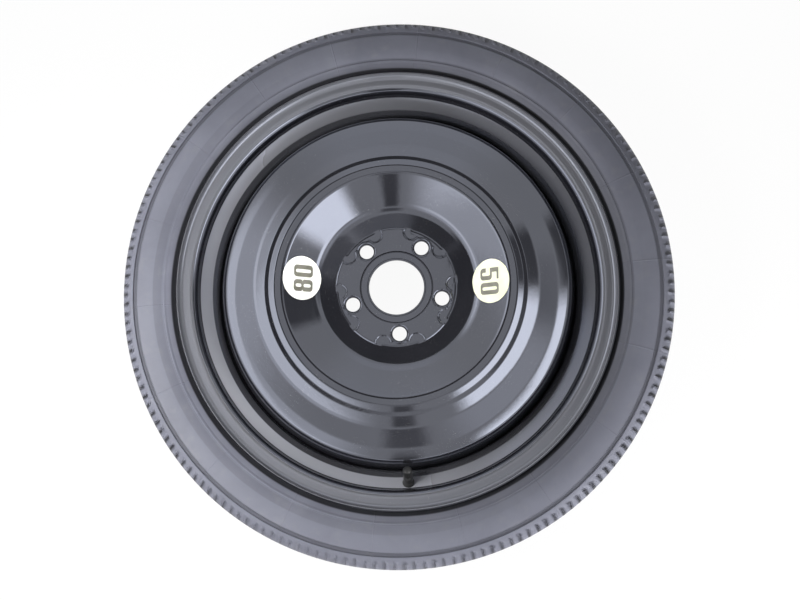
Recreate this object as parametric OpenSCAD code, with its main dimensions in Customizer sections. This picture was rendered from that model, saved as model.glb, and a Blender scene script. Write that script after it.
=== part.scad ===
// Space saver spare wheel: a pressed steel disc wheel with a narrow tubeless tyre,
// lying on its inboard side with its outer face up.
// The Z axis is the wheel axis and points outboard.
// The origin is the middle of the hub bore, in the plane of the mounting face.

/* [Tyre] */
// Outside diameter of the tyre
tyre_d = 632.2; // [620:0.2:660]
// Section width of the inflated tyre
tyre_w = 127; // [122:0.5:134]
// Radius at which the tyre is widest
widest_r = 277; // [272:0.5:281]
// Width of the tread from shoulder to shoulder
tread_w = 84; // [80:1:92]
// Radius of the crown across the tread
crown_r = 400; // [250:5:900]
// Rubber from the tread face to the air chamber
tread_t = 12.5; // [10:0.5:16]
// Rubber of the sidewall at its widest point
sidewall_t = 7; // [5:0.5:10]
// Width of a main tread groove
groove_w = 6.5; // [4:0.5:9]
// Depth of a main tread groove
groove_depth = 5; // [2:0.5:7]
// Distance between the main tread grooves
groove_pitch = 23; // [18:0.5:26]
// Number of cross slots in each shoulder
slot_count = 60; // [12:1:72]
// Width of a shoulder slot
slot_w = 2.6; // [1:0.1:4]
// Depth of a shoulder slot
slot_depth = 4.2; // [1:0.1:6]
// Radius of the middle of the sunk band near the shoulder
band_r = 295.4; // [292:0.1:298]
// Width of the sunk band near the shoulder
band_w = 5; // [2:0.5:7]
// Depth of the sunk band near the shoulder
band_depth = 1.3; // [0.5:0.1:2.5]
// Radius of the fine rib on the lower sidewall
rib_r = 262; // [259:0.5:266]
// Height of the fine rib on the lower sidewall
rib_h = 0.8; // [0.3:0.1:1.5]

/* [Rim] */
// Diameter of the bead seats where they meet the flanges
seat_d = 462; // [458:0.2:464]
// Width between the flanges
rim_w = 101.6; // [98:0.2:104]
// Height of a flange above its bead seat
flange_h = 17.3; // [15:0.1:18.5]
// Radius of the rolled flange edge on the tyre side
curl_r = 8; // [6:0.1:9]
// Radius in the heel between bead seat and flange
heel_r = 6; // [4:0.5:7]
// Taper of the bead seats in degrees
seat_taper = 5; // [4:0.5:6]
// Width of the outboard bead seat
seat_w = 14.4; // [13:0.1:15]
// Width of the inboard bead seat
inner_seat_w = 20; // [16:0.5:24]
// Diameter of the drop centre well outside
well_d = 422; // [414:0.5:426]
// Slope between well and outboard seat, in degrees from the axis
slope_a = 46; // [42:1:50]
// Slope between well and inboard seat, in degrees from the axis
inner_slope_a = 45; // [40:1:50]
// Sheet thickness of the rim
rim_t = 2.4; // [2:0.1:3]

/* [Disc] */
// Distance from the tyre's middle plane out to the mounting face
wheel_offset = 30; // [26:0.5:34]
// Sheet thickness of the disc
disc_t = 4; // [3:0.1:4.6]
// Diameter of the hub bore
bore_d = 63.4; // [54:0.1:66]
// Number of wheel bolts
bolt_count = 5; // [4:1:5]
// Diameter of the bolt circle
bolt_circle = 108; // [104:0.1:112]
// Diameter of a bolt hole
bolt_hole_d = 16.4; // [13:0.1:17]
// Diameter of the mouth of a bolt hole's conical seat
bolt_seat_d = 20; // [18.4:0.1:21]
// Angle of the lowest bolt hole
bolt_turn = -86.2; // [-90:0.1:-80]
// Height of the raised hub pad above the sheet
pad_h = 1.4; // [0.8:0.1:2]
// Height of the ledge round the hub pad
ledge_h = 0.6; // [0.3:0.1:0.7]
// Radius of the hub pad at the bolts
pad_r = 68; // [67:0.1:68.5]
// How far the five lobes stand out past the pad
lobe_h = 2.4; // [1:0.1:3]
// Radius of a scallop beside a bolt hole
scallop_r = 8.5; // [6:0.1:9.5]
// Inner diameter of the hub pad, around the plain collar
collar_d = 82.6; // [80:0.1:84]
// Radius where the bowl starts to rise
bowl_foot_r = 68.5; // [68:0.5:70]
// Radius of the crown of the bowl
crown_ring_r = 136; // [133:0.5:139]
// Height of the crown above the mounting face
crown_h = 36.5; // [33:0.5:38]
// Radius of the outer shoulder of the disc
shoulder_r = 198.5; // [196:0.1:200]
// Height of the outer shoulder above the mounting face
shoulder_h = 15.9; // [13:0.1:18]
// Length of the disc flange pressed into the rim
flange_l = 18; // [12:0.5:20]
// Number of weld beads between disc and rim
weld_count = 8; // [4:1:12]
// Leg of a weld bead
weld_leg = 4; // [2.5:0.1:4.5]
// Arc of one weld bead in degrees
weld_arc = 16; // [8:1:26]

/* [Valve] */
// Angle of the valve round the wheel
valve_turn = -86.5; // [-90:0.1:-84]
// Diameter of the valve hole in the rim
valve_hole_d = 11.5; // [11:0.1:12]
// Distance kept between the valve's foot and the bend above it
valve_margin = 0.2; // [0.1:0.1:2]
// Height of the valve above the rim, with its cap
valve_h = 24; // [24:0.5:30]
// Diameter of the valve's rubber foot
foot_d = 13.6; // [13:0.1:15.6]
// Diameter of the valve's head inside the tyre
head_d = 18.6; // [17:0.1:20]
// Diameter of the brass stem's thread
stem_d = 7.7; // [7.5:0.1:8]
// Diameter of the dust cap
cap_d = 10.4; // [10:0.1:12]
// Length of the dust cap
cap_l = 11.6; // [10.5:0.1:12.5]
// Diameter of the valve core's pin
pin_d = 1.2; // [1:0.1:1.4]
// Travel of the valve core's pin
pin_travel = 1.5; // [1:0.1:1.8]

/* [Labels] */
// Diameter of a round label
label_d = 50; // [40:0.5:52]
// Radius on the wheel of the labels' middles
label_r = 107; // [103:0.5:108]
// Angle of the left label
label_80_turn = 175.5; // [160:0.5:190]
// Angle of the right label
label_50_turn = 2; // [-10:0.5:20]
// Thickness of a label
label_t = 0.3; // [0.2:0.05:0.5]

/* [Hidden] */
$fn = 96;

// Clearance between round pieces that seat in each other
fit = 0.1;
// Clearance round pieces that move
run_gap = 0.25;
// Depth by which a cutting tool passes the surface it cuts
over = 1;
// Steps in each rounded corner
steps = 5;

tyre_r = tyre_d / 2;
seat_r = seat_d / 2;
well_r = well_d / 2;
bore_r = bore_d / 2;
half_rim = rim_w / 2;
half_tyre = tyre_w / 2;
half_tread = tread_w / 2;

// Plane geometry

function unit(v) = v / norm(v);
function turned(v, a) = [v.x * cos(a) - v.y * sin(a), v.x * sin(a) + v.y * cos(a)];
function flipped(list) = [for (i = [len(list) - 1:-1:0]) list[i]];
function mirrored(list) = [for (p = flipped(list)) [p.x, -p.y]];

// Points of an arc about a centre
function arc(centre, r, from, to, n = steps) =
    [for (i = [0:n]) centre + r * [cos(from + (to - from) * i / n), sin(from + (to - from) * i / n)]];

// One corner of a path, rounded with radius r
function round_corner(a, b, c, r) =
    let (u = unit(a - b), v = unit(c - b))
    let (half = acos(u * v) / 2)
    let (middle = b + unit(u + v) * r / sin(half))
    let (start = b + u * r / tan(half) - middle)
    let (sweep = (180 - 2 * half) * (cross(v, u) > 0 ? 1 : -1))
    [for (i = [0:steps]) middle + turned(start, sweep * i / steps)];

// A path of [radius, height, corner radius] points, with its corners rounded
function rounded(path) = [for (i = [0:len(path) - 1])
    let (p = path[i], b = [p[0], p[1]])
    let (inner = i > 0 && i < len(path) - 1 && p[2] > 0)
    for (q = inner ? round_corner([path[i - 1][0], path[i - 1][1]], b,
        [path[i + 1][0], path[i + 1][1]], p[2]) : [b]) q];

// Right-hand normal of a path at a point
function right_of(v) = [v.y, -v.x] / norm(v);

// A path moved sideways to its right by d
function beside(path, d) = [for (i = [0:len(path) - 1])
    let (last = len(path) - 1)
    let (n1 = right_of(i > 0 ? path[i] - path[i - 1] : path[1] - path[0]))
    let (n2 = right_of(i < last ? path[i + 1] - path[i] : path[last] - path[last - 1]))
    let (m = unit(n1 + n2))
    path[i] + m * d / (m * n1)];

// The closed outline of a sheet whose right side lies t away from its path
function sheet(path, t) = concat(path, flipped(beside(path, t)));

// Rim, in the tyre's middle plane

seat_end_r = seat_r - seat_w * tan(seat_taper);
seat_end_z = half_rim - seat_w;
well_out_z = seat_end_z - (seat_end_r - well_r) / tan(slope_a);
inner_end_r = seat_r - inner_seat_w * tan(seat_taper);
inner_end_z = -half_rim + inner_seat_w;
well_in_z = inner_end_z + (inner_end_r - well_r) / tan(inner_slope_a);
curl_c = [seat_r + flange_h - curl_r, half_rim + curl_r];
lip_end = 1;
seat_bend = 5;
well_bend = 8;

rim_path = rounded(concat(
    [[curl_c.x + curl_r, curl_c.y + lip_end, 0]],
    [for (p = arc(curl_c, curl_r, 0, -90, 6)) [p.x, p.y, 0]],
    [[seat_r, half_rim, heel_r],
     [seat_end_r, seat_end_z, seat_bend],
     [well_r, well_out_z, well_bend],
     [well_r, well_in_z, well_bend],
     [inner_end_r, inner_end_z, seat_bend],
     [seat_r, -half_rim, heel_r]],
    [for (p = mirrored(arc(curl_c, curl_r, 0, -90, 6))) [p.x, p.y, 0]],
    [[curl_c.x + curl_r, -curl_c.y - lip_end, 0]]));

// Tyre section, in its own middle plane

toe_z = seat_end_z + 1.2;
// The rubber bears on this much of the rolled flange edge, in degrees
curl_contact = 28;
cushion = [seat_r + flange_h + 4.5, half_rim + 4.6];
low_rise = half_tyre - cushion.y;
low_run = widest_r - cushion.x;
buttress_r = tyre_r - 15;
buttress_drop = 3.3;
high_run = buttress_r - widest_r;
shoulder_bend = 16;
// Distance from the tread's edge out to the corner above the shoulder
shoulder_rise = 9.5;

function seat_at(z) = seat_r + fit - (half_rim - z) * tan(seat_taper);
function tread_at(z) = tyre_r - crown_r + sqrt(crown_r * crown_r - z * z);
function low_wall_at(r) = half_tyre - low_rise * pow((widest_r - r) / low_run, 2);
function high_wall_at(r) = half_tyre - buttress_drop * pow((r - widest_r) / high_run, 2);

// A main groove cut into the crown, as steps in the outline
function groove(z) = [
    [tread_at(z + groove_w / 2), z + groove_w / 2],
    [tread_at(z) - groove_depth, z + groove_w / 2 - groove_depth / 8],
    [tread_at(z) - groove_depth, z - groove_w / 2 + groove_depth / 8],
    [tread_at(z - groove_w / 2), z - groove_w / 2]];

bead_foot = rounded(concat(
    [[seat_at(toe_z), toe_z, 0],
     [seat_at(half_rim - fit), half_rim - fit, heel_r]],
    [for (p = arc(curl_c, curl_r + fit, -90, curl_contact - 90, 3)) [p.x, p.y, 0]],
    [[cushion.x, cushion.y, 0]]));
low_wall = concat(
    [for (r = [cushion.x + 3:3:rib_r - 3]) [r, low_wall_at(r)]],
    [[rib_r - 1.2, low_wall_at(rib_r - 1.2)],
     [rib_r - 0.5, low_wall_at(rib_r) + rib_h],
     [rib_r + 0.5, low_wall_at(rib_r) + rib_h],
     [rib_r + 1.2, low_wall_at(rib_r + 1.2)]],
    [for (r = [rib_r + 4:3:widest_r - 1]) [r, low_wall_at(r)]]);
band_in = band_r - band_w / 2;
band_out = band_r + band_w / 2;
high_wall = concat(
    [for (r = [widest_r:5:band_in - 2]) [r, high_wall_at(r)]],
    [[band_in, high_wall_at(band_in)],
     [band_in + 0.6, high_wall_at(band_in) - band_depth],
     [band_out - 0.6, high_wall_at(band_out) - band_depth],
     [band_out, high_wall_at(band_out)]]);
shoulder = rounded([
    [buttress_r, high_wall_at(buttress_r), 0],
    [tread_at(half_tread) - 0.8, half_tread + shoulder_rise, shoulder_bend],
    [tread_at(half_tread), half_tread, 0]]);
half_outside = concat(bead_foot, low_wall, high_wall, shoulder, groove(groove_pitch));
outside = concat(half_outside, groove(0), mirrored(half_outside));

under_tread = tyre_r - tread_t;
half_inside = rounded([
    [seat_at(toe_z), toe_z, 0],
    [seat_r + 8, toe_z + 1, 6],
    [widest_r - 14, half_tyre - sidewall_t - 3.5, 14],
    [widest_r + 1, half_tyre - sidewall_t, 16],
    [under_tread - 5, half_tyre - sidewall_t - 6, 14],
    [under_tread, half_tyre - sidewall_t - 17.5, 30],
    [under_tread + 0.5, 0, 0]]);
inside = concat(half_inside, mirrored([for (i = [0:len(half_inside) - 2]) half_inside[i]]));

slot_from_z = groove_pitch + groove_w / 2 + 4;
slot_foot = [tyre_r - 11.5, high_wall_at(tyre_r - 11.5) + over];

// Disc, front side, above the mounting face

disc_r = well_r - rim_t - fit;
flange_z = -wheel_offset + well_out_z - 5;
// The bowl rises gently from its foot to the knee, then steeply to just below the crown
bowl_knee = [bowl_foot_r + 21.5, disc_t + 4.2];
bowl_top = [crown_ring_r - 9, crown_h - 0.6];
// The outer ring falls steeply from the crown, then gently, then steeply to the shoulder
crown_slope_end = [crown_ring_r + 24.5, crown_h - 9.3];
shoulder_slope_start = [shoulder_r - 15.5, shoulder_h + 5.4];
disc_path = rounded([
    [bore_r, disc_t, 0],
    [bowl_foot_r, disc_t, 20],
    [bowl_knee.x, bowl_knee.y, 30],
    [bowl_top.x, bowl_top.y, 9],
    [crown_ring_r, crown_h, 5],
    [crown_ring_r + 7, crown_h - 3.2, 5],
    [crown_ring_r + 11.5, crown_h - 3.6, 6],
    [crown_slope_end.x, crown_slope_end.y, 40],
    [shoulder_slope_start.x, shoulder_slope_start.y, 60],
    [shoulder_r, shoulder_h, 12],
    [disc_r, flange_z, 20],
    [disc_r, flange_z - flange_l, 0]]);
disc_end_z = flange_z - flange_l;

pad_top = disc_t + pad_h;
bolt_r = bolt_circle / 2;
bolt_step = 360 / bolt_count;
lobe_a = bolt_step / 4 - 1;
scallop_a = 17;
collar_groove_w = 1.4;
collar_groove_depth = 1.6;
hole_edge = 0.6;

// Valve, along its own axis from the hub side of the rim

valve_tilt = 90 - slope_a;
slope_dir = [sin(slope_a), cos(slope_a)];
valve_drop = foot_d / 2 + valve_margin + seat_bend * tan((slope_a - seat_taper) / 2);
valve_seat = [seat_end_r, seat_end_z] - slope_dir * valve_drop
    + rim_t * [-cos(slope_a), sin(slope_a)];
cap_z = valve_h - cap_l;
cap_roof = 1.5;
seal_t = 0.9;
stem_top = valve_h - cap_roof - seal_t - run_gap;
stem_bottom = -rim_t - 5.5;
rubber_top = cap_z - run_gap;
neck_d = 9.6;
sleeve_d = 6.4;
chamber_d = 5.4;
air_d = 3.8;
seat_z = stem_top - 8.5;
pin_top = stem_top - 0.5;
button_t = 0.5;
plug_top = pin_top - button_t - pin_travel - fit;
plug_l = 3;
barrel_l = 5.2;
barrel_d = 3.3;
barrel_bore = 2.2;
barrel_top = plug_top - plug_l;
barrel_bottom = barrel_top - barrel_l;
cup_d = 3;
cup_l = 1.4;
pin_bottom = barrel_bottom - cup_l - 0.8;
collar_t = 0.4;
collar_z = barrel_top - collar_t - 2 * fit;
lip_t = 0.4;
spring_wire = 0.35;
spring_turns = 5;

module at_valve() {
    rotate([0, 0, valve_turn])
        translate([valve_seat.x, 0, valve_seat.y - wheel_offset])
            rotate([0, -valve_tilt, 0])
                children();
}

// A ring or rod about Z, from height a to height b
module tube(outer_d, inner_d, a, b) {
    difference() {
        translate([0, 0, a]) cylinder(d = outer_d, h = b - a);
        if (inner_d > 0) {
            translate([0, 0, a - over]) cylinder(d = inner_d, h = b - a + 2 * over);
        }
    }
}

module around(count, first = 0) {
    for (i = [0:count - 1]) rotate([0, 0, first + i * 360 / count]) children();
}

module tyre_carcass() {
    rotate_extrude($fn = 180) polygon(concat(outside, flipped(inside)));
}

// The space that one shoulder slot takes out, on the outboard side
module shoulder_slot() {
    rotate([90, 0, 0])
        linear_extrude(slot_w, center = true)
            polygon([
                [tread_at(slot_from_z) + over, slot_from_z - 1],
                [tread_at(slot_from_z) - slot_depth, slot_from_z + 1],
                [tread_at(half_tread) - slot_depth, half_tread - 1],
                slot_foot,
                [tyre_r + over, slot_foot.y]]);
}

module tyre() {
    color([0.16, 0.16, 0.17])
        translate([0, 0, -wheel_offset])
            difference() {
                tyre_carcass();
                around(slot_count) shoulder_slot();
                around(slot_count, 180 / slot_count) mirror([0, 0, 1]) shoulder_slot();
            }
}

module rim() {
    color([0.12, 0.12, 0.13])
        difference() {
            translate([0, 0, -wheel_offset])
                rotate_extrude($fn = 180) polygon(sheet(rim_path, rim_t));
            at_valve() translate([0, 0, -rim_t - 3]) cylinder(d = valve_hole_d, h = rim_t + 6);
        }
}

// Flat plate with a lobe between each two bolts
module lobed_plate(h) {
    cylinder(r = pad_r, h = h);
    intersection() {
        cylinder(r = pad_r + lobe_h, h = h);
        around(bolt_count, bolt_turn + bolt_step / 2) {
            translate([0, 0, -over])
                linear_extrude(h + 2 * over)
                    polygon([
                        [0, 0],
                        2 * pad_r * [cos(lobe_a), -sin(lobe_a)],
                        2 * pad_r * [cos(lobe_a), sin(lobe_a)]]);
        }
    }
}

// The raised pad, with a scallop on each side of every bolt hole, down to a ledge
module hub_pad() {
    pad_from = disc_t / 2;
    difference() {
        translate([0, 0, pad_from]) lobed_plate(pad_top - pad_from);
        for (side = [-1, 1]) {
            around(bolt_count, bolt_turn + side * scallop_a)
                translate([pad_r - 1.5, 0, disc_t + ledge_h]) cylinder(r = scallop_r, h = pad_h + over);
        }
        translate([0, 0, pad_from - over]) cylinder(d = collar_d, h = pad_top + over);
    }
}

module wheel_disc() {
    color([0.1, 0.1, 0.11])
        difference() {
            union() {
                rotate_extrude($fn = 180) polygon(sheet(disc_path, disc_t));
                hub_pad();
            }
            // Groove round the collar
            difference() {
                translate([0, 0, disc_t - collar_groove_depth]) cylinder(d = collar_d, h = pad_top);
                cylinder(d = collar_d - 2 * collar_groove_w, h = 2 * pad_top);
            }
            // Broken edge of the hub bore
            translate([0, 0, disc_t - hole_edge])
                cylinder(r1 = bore_r, r2 = bore_r + hole_edge + over, h = hole_edge + over);
            around(bolt_count, bolt_turn) translate([bolt_r, 0, 0]) bolt_hole();
        }
}

// A bolt hole with its conical seat
module bolt_hole() {
    seat_depth = (bolt_seat_d - bolt_hole_d) / 2 * tan(60);
    translate([0, 0, -over]) cylinder(d = bolt_hole_d, h = pad_top + 2 * over);
    translate([0, 0, pad_top - seat_depth])
        cylinder(d1 = bolt_hole_d, d2 = bolt_seat_d, h = seat_depth);
    translate([0, 0, pad_top]) cylinder(d = bolt_seat_d, h = over);
}

module disc_welds() {
    color([0.2, 0.2, 0.21])
        around(weld_count, -weld_arc / 2)
            rotate_extrude(angle = weld_arc)
                polygon([
                    [disc_r, disc_end_z - fit],
                    [disc_r, disc_end_z - fit - weld_leg],
                    [disc_r - weld_leg * 0.55, disc_end_z - fit - weld_leg * 0.6],
                    [disc_r - weld_leg, disc_end_z - fit]]);
}

module valve_body() {
    color([0.08, 0.08, 0.09])
        at_valve()
            difference() {
                rotate_extrude()
                    polygon([
                        [0, stem_bottom],
                        [head_d / 2 - 3.4, stem_bottom],
                        [head_d / 2, -rim_t - 2.4],
                        [head_d / 2, -rim_t - fit],
                        [valve_hole_d / 2 - fit, -rim_t - fit],
                        [valve_hole_d / 2 - fit, fit],
                        [foot_d / 2, fit],
                        [foot_d / 2, 1.8],
                        [foot_d / 2 - 1.6, rubber_top * 0.4],
                        [neck_d / 2 + 0.5, rubber_top * 0.75],
                        [neck_d / 2, rubber_top],
                        [0, rubber_top]]);
                translate([0, 0, stem_bottom - over])
                    cylinder(d = sleeve_d + 2 * fit, h = rubber_top - stem_bottom + 2 * over);
            }
}

module valve_stem() {
    color([0.78, 0.64, 0.32])
        at_valve()
            difference() {
                union() {
                    tube(sleeve_d, 0, stem_bottom, rubber_top + over);
                    tube(stem_d, 0, rubber_top + fit, stem_top);
                }
                translate([0, 0, stem_bottom - over])
                    cylinder(d = air_d, h = stem_top - stem_bottom + 2 * over);
                translate([0, 0, seat_z])
                    cylinder(d = chamber_d, h = stem_top - seat_z + over);
                translate([0, 0, seat_z - (chamber_d - air_d)])
                    cylinder(d1 = air_d, d2 = chamber_d, h = chamber_d - air_d);
            }
}

module core_plug() {
    color([0.8, 0.67, 0.36])
        at_valve()
            difference() {
                union() {
                    tube(chamber_d - 2 * fit, 0, barrel_top, barrel_top + plug_l * 0.6);
                    intersection() {
                        tube(chamber_d - 2 * fit, 0, barrel_top, plug_top);
                        translate([-chamber_d, -chamber_d * 0.3, barrel_top])
                            cube([2 * chamber_d, chamber_d * 0.6, plug_l]);
                    }
                }
                translate([0, 0, barrel_top - over])
                    cylinder(d = pin_d + 4 * fit + 0.4, h = plug_l + 2 * over);
            }
}

module core_barrel() {
    color([0.8, 0.67, 0.36])
        at_valve() {
            tube(barrel_d, barrel_bore, barrel_bottom + lip_t, barrel_top - fit / 2);
            tube(barrel_d, pin_d + 2 * fit, barrel_bottom, barrel_bottom + lip_t);
        }
}

module core_gasket() {
    color([0.75, 0.2, 0.15])
        at_valve()
            tube(chamber_d - 4 * fit, barrel_d + fit, seat_z - fit, seat_z + 1.8);
}

module core_pin() {
    color([0.8, 0.67, 0.36])
        at_valve() {
            tube(pin_d, 0, pin_bottom, pin_top);
            tube(pin_d + 0.5, 0, pin_top - button_t, pin_top);
            tube(barrel_bore - 3 * fit, 0, collar_z, collar_z + collar_t);
        }
}

module core_cup() {
    color([0.8, 0.67, 0.36])
        at_valve()
            difference() {
                tube(cup_d, pin_d + fit, barrel_bottom - cup_l, barrel_bottom - run_gap);
                tube(cup_d - 0.6, 0, barrel_bottom - 0.9, barrel_bottom + over);
            }
}

module cup_gasket() {
    color([0.12, 0.12, 0.12])
        at_valve()
            tube(cup_d - 0.8, pin_d + fit, barrel_bottom - 0.9 + fit / 2, barrel_bottom - fit);
}

// A closed wire wound round Z from height a to height b
module coil(r, wire_d, a, b, turns) {
    sides = 6;
    rings = turns * 14;
    points = [for (i = [0:rings], k = [0:sides - 1])
        let (reach = r + wire_d / 2 * cos(k * 360 / sides))
        [reach * cos(i * 360 * turns / rings),
         reach * sin(i * 360 * turns / rings),
         a + (b - a) * i / rings + wire_d / 2 * sin(k * 360 / sides)]];
    skin = [for (i = [0:rings - 1], k = [0:sides - 1])
        let (next = (k + 1) % sides)
        [i * sides + k, i * sides + next, (i + 1) * sides + next, (i + 1) * sides + k]];
    polyhedron(points, concat(
        skin,
        [[for (k = [sides - 1:-1:0]) k]],
        [[for (k = [0:sides - 1]) rings * sides + k]]));
}

module core_spring() {
    spring_from = barrel_bottom + lip_t + spring_wire / 2 + fit / 2;
    spring_to = collar_z - spring_wire / 2 - fit / 2;
    color([0.72, 0.73, 0.75])
        at_valve()
            coil((pin_d + barrel_bore) / 4, spring_wire, spring_from, spring_to, spring_turns);
}

module valve_cap() {
    ribs = 16;
    color([0.1, 0.1, 0.1])
        at_valve()
            difference() {
                rotate_extrude()
                    polygon(concat(
                        [[0, cap_z], [cap_d / 2, cap_z], [cap_d / 2, valve_h - 3]],
                        arc([cap_d / 2 - 3, valve_h - 3], 3, 0, 70, 5),
                        [[cap_d / 2 - 3.6, valve_h], [0, valve_h]]));
                translate([0, 0, cap_z - over])
                    cylinder(d = stem_d + 2 * run_gap, h = cap_l - cap_roof + over);
                around(ribs) translate([cap_d / 2 + 0.2, 0, cap_z + 1.2]) cylinder(r = 0.5, h = cap_l - 4.4);
            }
}

module cap_seal() {
    color([0.2, 0.2, 0.2])
        at_valve()
            tube(stem_d + run_gap, 0, valve_h - cap_roof - seal_t, valve_h - cap_roof);
}

// A round label that follows the face of the bowl
module label(turn) {
    bowl_a = atan((bowl_top.y - bowl_knee.y) / (bowl_top.x - bowl_knee.x));
    label_z = bowl_knee.y + (label_r - bowl_knee.x) * tan(bowl_a);
    bowl = [for (p = disc_path) if (p.x > bowl_foot_r - 3 && p.x < crown_ring_r - 1) p];
    intersection() {
        rotate_extrude($fn = 180)
            polygon(concat(beside(bowl, -fit), flipped(beside(bowl, -fit - label_t))));
        rotate([0, 0, turn])
            translate([label_r, 0, label_z])
                rotate([0, -bowl_a, 0])
                    cylinder(d = label_d, h = 24, center = true);
    }
}

module label_80() {
    color([0.97, 0.97, 0.86]) label(label_80_turn);
}

module label_50() {
    color([0.96, 0.95, 0.78]) label(label_50_turn);
}

tyre();
rim();
wheel_disc();
disc_welds();
valve_body();
valve_stem();
core_plug();
core_barrel();
core_gasket();
core_pin();
core_cup();
cup_gasket();
core_spring();
valve_cap();
cap_seal();
label_80();
label_50();
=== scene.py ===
"""Looks of a space saver spare wheel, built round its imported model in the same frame.

The wheel lies on its inboard side. Sizes in the classes are millimetres, and every finished mesh is
in metres. Heights are above the mounting face, apart from the tyre's and the rim's own outlines, which
are drawn about the tyre's middle plane and then moved down by the wheel's offset.
"""
import logging
import math
from collections.abc import Sequence
from dataclasses import dataclass
from enum import Enum

import bmesh
import bpy
from mathutils import Matrix, Vector


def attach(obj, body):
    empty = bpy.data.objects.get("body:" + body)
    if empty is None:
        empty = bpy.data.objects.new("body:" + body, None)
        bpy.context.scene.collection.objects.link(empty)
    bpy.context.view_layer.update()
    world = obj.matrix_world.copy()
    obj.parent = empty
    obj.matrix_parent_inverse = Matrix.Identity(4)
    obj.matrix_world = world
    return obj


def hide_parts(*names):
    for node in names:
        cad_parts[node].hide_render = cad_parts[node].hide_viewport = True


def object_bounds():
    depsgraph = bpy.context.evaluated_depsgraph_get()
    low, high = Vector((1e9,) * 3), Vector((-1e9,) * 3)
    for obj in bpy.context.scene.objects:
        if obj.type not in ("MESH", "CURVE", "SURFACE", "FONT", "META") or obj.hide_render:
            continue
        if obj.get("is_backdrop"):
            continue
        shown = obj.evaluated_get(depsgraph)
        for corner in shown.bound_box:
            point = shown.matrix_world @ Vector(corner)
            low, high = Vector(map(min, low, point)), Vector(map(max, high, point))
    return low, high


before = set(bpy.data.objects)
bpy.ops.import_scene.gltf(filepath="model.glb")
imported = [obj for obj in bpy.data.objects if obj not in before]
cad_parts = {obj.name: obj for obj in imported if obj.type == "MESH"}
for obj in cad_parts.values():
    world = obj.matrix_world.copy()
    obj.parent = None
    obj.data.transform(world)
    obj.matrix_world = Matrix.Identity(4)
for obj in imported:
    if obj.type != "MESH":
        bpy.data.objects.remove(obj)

MM = 0.001
FULL_TURN = 2 * math.pi

Point = tuple[float, float]
Corner = tuple[float, float, float]
Outline = list[Point]
Colour = tuple[float, float, float, float]
Ring = tuple[float, float, float, float]

log = logging.getLogger("spare_wheel")


class Body(Enum):
    """The bodies that the new pieces ride on."""

    WHEEL = "wheel"
    CAP = "cap"


class Slot(Enum):
    """Names of the record's material slots that match the new pieces, passed to show but not used."""

    TYRE = "rubber_tyre"
    PAINT = "black_paint"
    WELD = "weld"
    VALVE = "valve_rubber"
    BRASS = "brass"
    CAP = "cap_plastic"
    LABEL = "label"


# Plane outlines


def arc(centre: Point, radius: float, start: float, end: float, steps: int = 5) -> Outline:
    """Points along an arc.

    Args:
        centre: Centre of the arc.
        radius: Its radius.
        start: Angle of the first point in degrees.
        end: Angle of the last point in degrees.
        steps: Number of steps between them.

    Returns:
        steps + 1 points.
    """
    angles = [math.radians(start + (end - start) * i / steps) for i in range(steps + 1)]
    return [(centre[0] + radius * math.cos(a), centre[1] + radius * math.sin(a)) for a in angles]


def rounded(path: Sequence[Corner], steps: int = 6) -> Outline:
    """A path with its corners rounded.

    Args:
        path: Corners as (radius, height, rounding), where a rounding of 0 keeps the corner.
        steps: Steps in each rounded corner.

    Returns:
        The points of the rounded path.
    """
    points: Outline = []
    for i, (x, y, bend) in enumerate(path):
        if bend <= 0 or i in (0, len(path) - 1):
            points.append((x, y))
            continue
        here = Vector((x, y))
        back = (Vector(path[i - 1][:2]) - here).normalized()
        ahead = (Vector(path[i + 1][:2]) - here).normalized()
        half = back.angle(ahead) / 2
        middle = here + (back + ahead).normalized() * bend / math.sin(half)
        start = here + back * bend / math.tan(half) - middle
        side = 1 if ahead.x * back.y - ahead.y * back.x > 0 else -1
        for k in range(steps + 1):
            turn = side * (math.pi - 2 * half) * k / steps
            point = middle + Matrix.Rotation(turn, 2) @ start
            points.append((point.x, point.y))
    return points


def beside(path: Outline, distance: float) -> Outline:
    """A path moved sideways, to its right.

    Args:
        path: The points to move.
        distance: How far to the right they go.

    Returns:
        As many points, with mitred corners.
    """
    moved: Outline = []
    last = len(path) - 1
    for i in range(len(path)):
        before = Vector(path[max(i, 1)]) - Vector(path[max(i, 1) - 1])
        after = Vector(path[min(i, last - 1) + 1]) - Vector(path[min(i, last - 1)])
        first = Vector((before.y, -before.x)).normalized()
        second = Vector((after.y, -after.x)).normalized()
        mitre = (first + second).normalized()
        point = Vector(path[i]) + mitre * distance / mitre.dot(first)
        moved.append((point.x, point.y))
    return moved


def sheet(path: Outline, thickness: float) -> Outline:
    """The closed outline of a sheet whose other face lies to the right of its path."""
    return path + beside(path, thickness)[::-1]


def mirrored(path: Outline) -> Outline:
    """The path on the other side of the middle plane, run the other way."""
    return [(x, -y) for x, y in reversed(path)]


def height_on(path: Outline, radius: float) -> float:
    """Height of a path at a radius.

    Args:
        path: Points whose radius grows along the path.
        radius: Where to read the height.

    Returns:
        The height, by straight lines between the points.
    """
    for (r1, z1), (r2, z2) in zip(path, path[1:]):
        if r1 <= radius <= r2 and r2 > r1:
            return z1 + (z2 - z1) * (radius - r1) / (r2 - r1)
    return path[-1][1]


def compass(degrees: float) -> Vector:
    """A step of length 1 from the axis towards an angle."""
    return Vector((math.cos(math.radians(degrees)), math.sin(math.radians(degrees))))


def smooth_step(value: float, low: float, high: float) -> float:
    """0 below low, 1 above high, and an easy curve between them."""
    share = min(max((value - low) / (high - low), 0.0), 1.0)
    return share * share * (3 - 2 * share)


# Meshes


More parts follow.
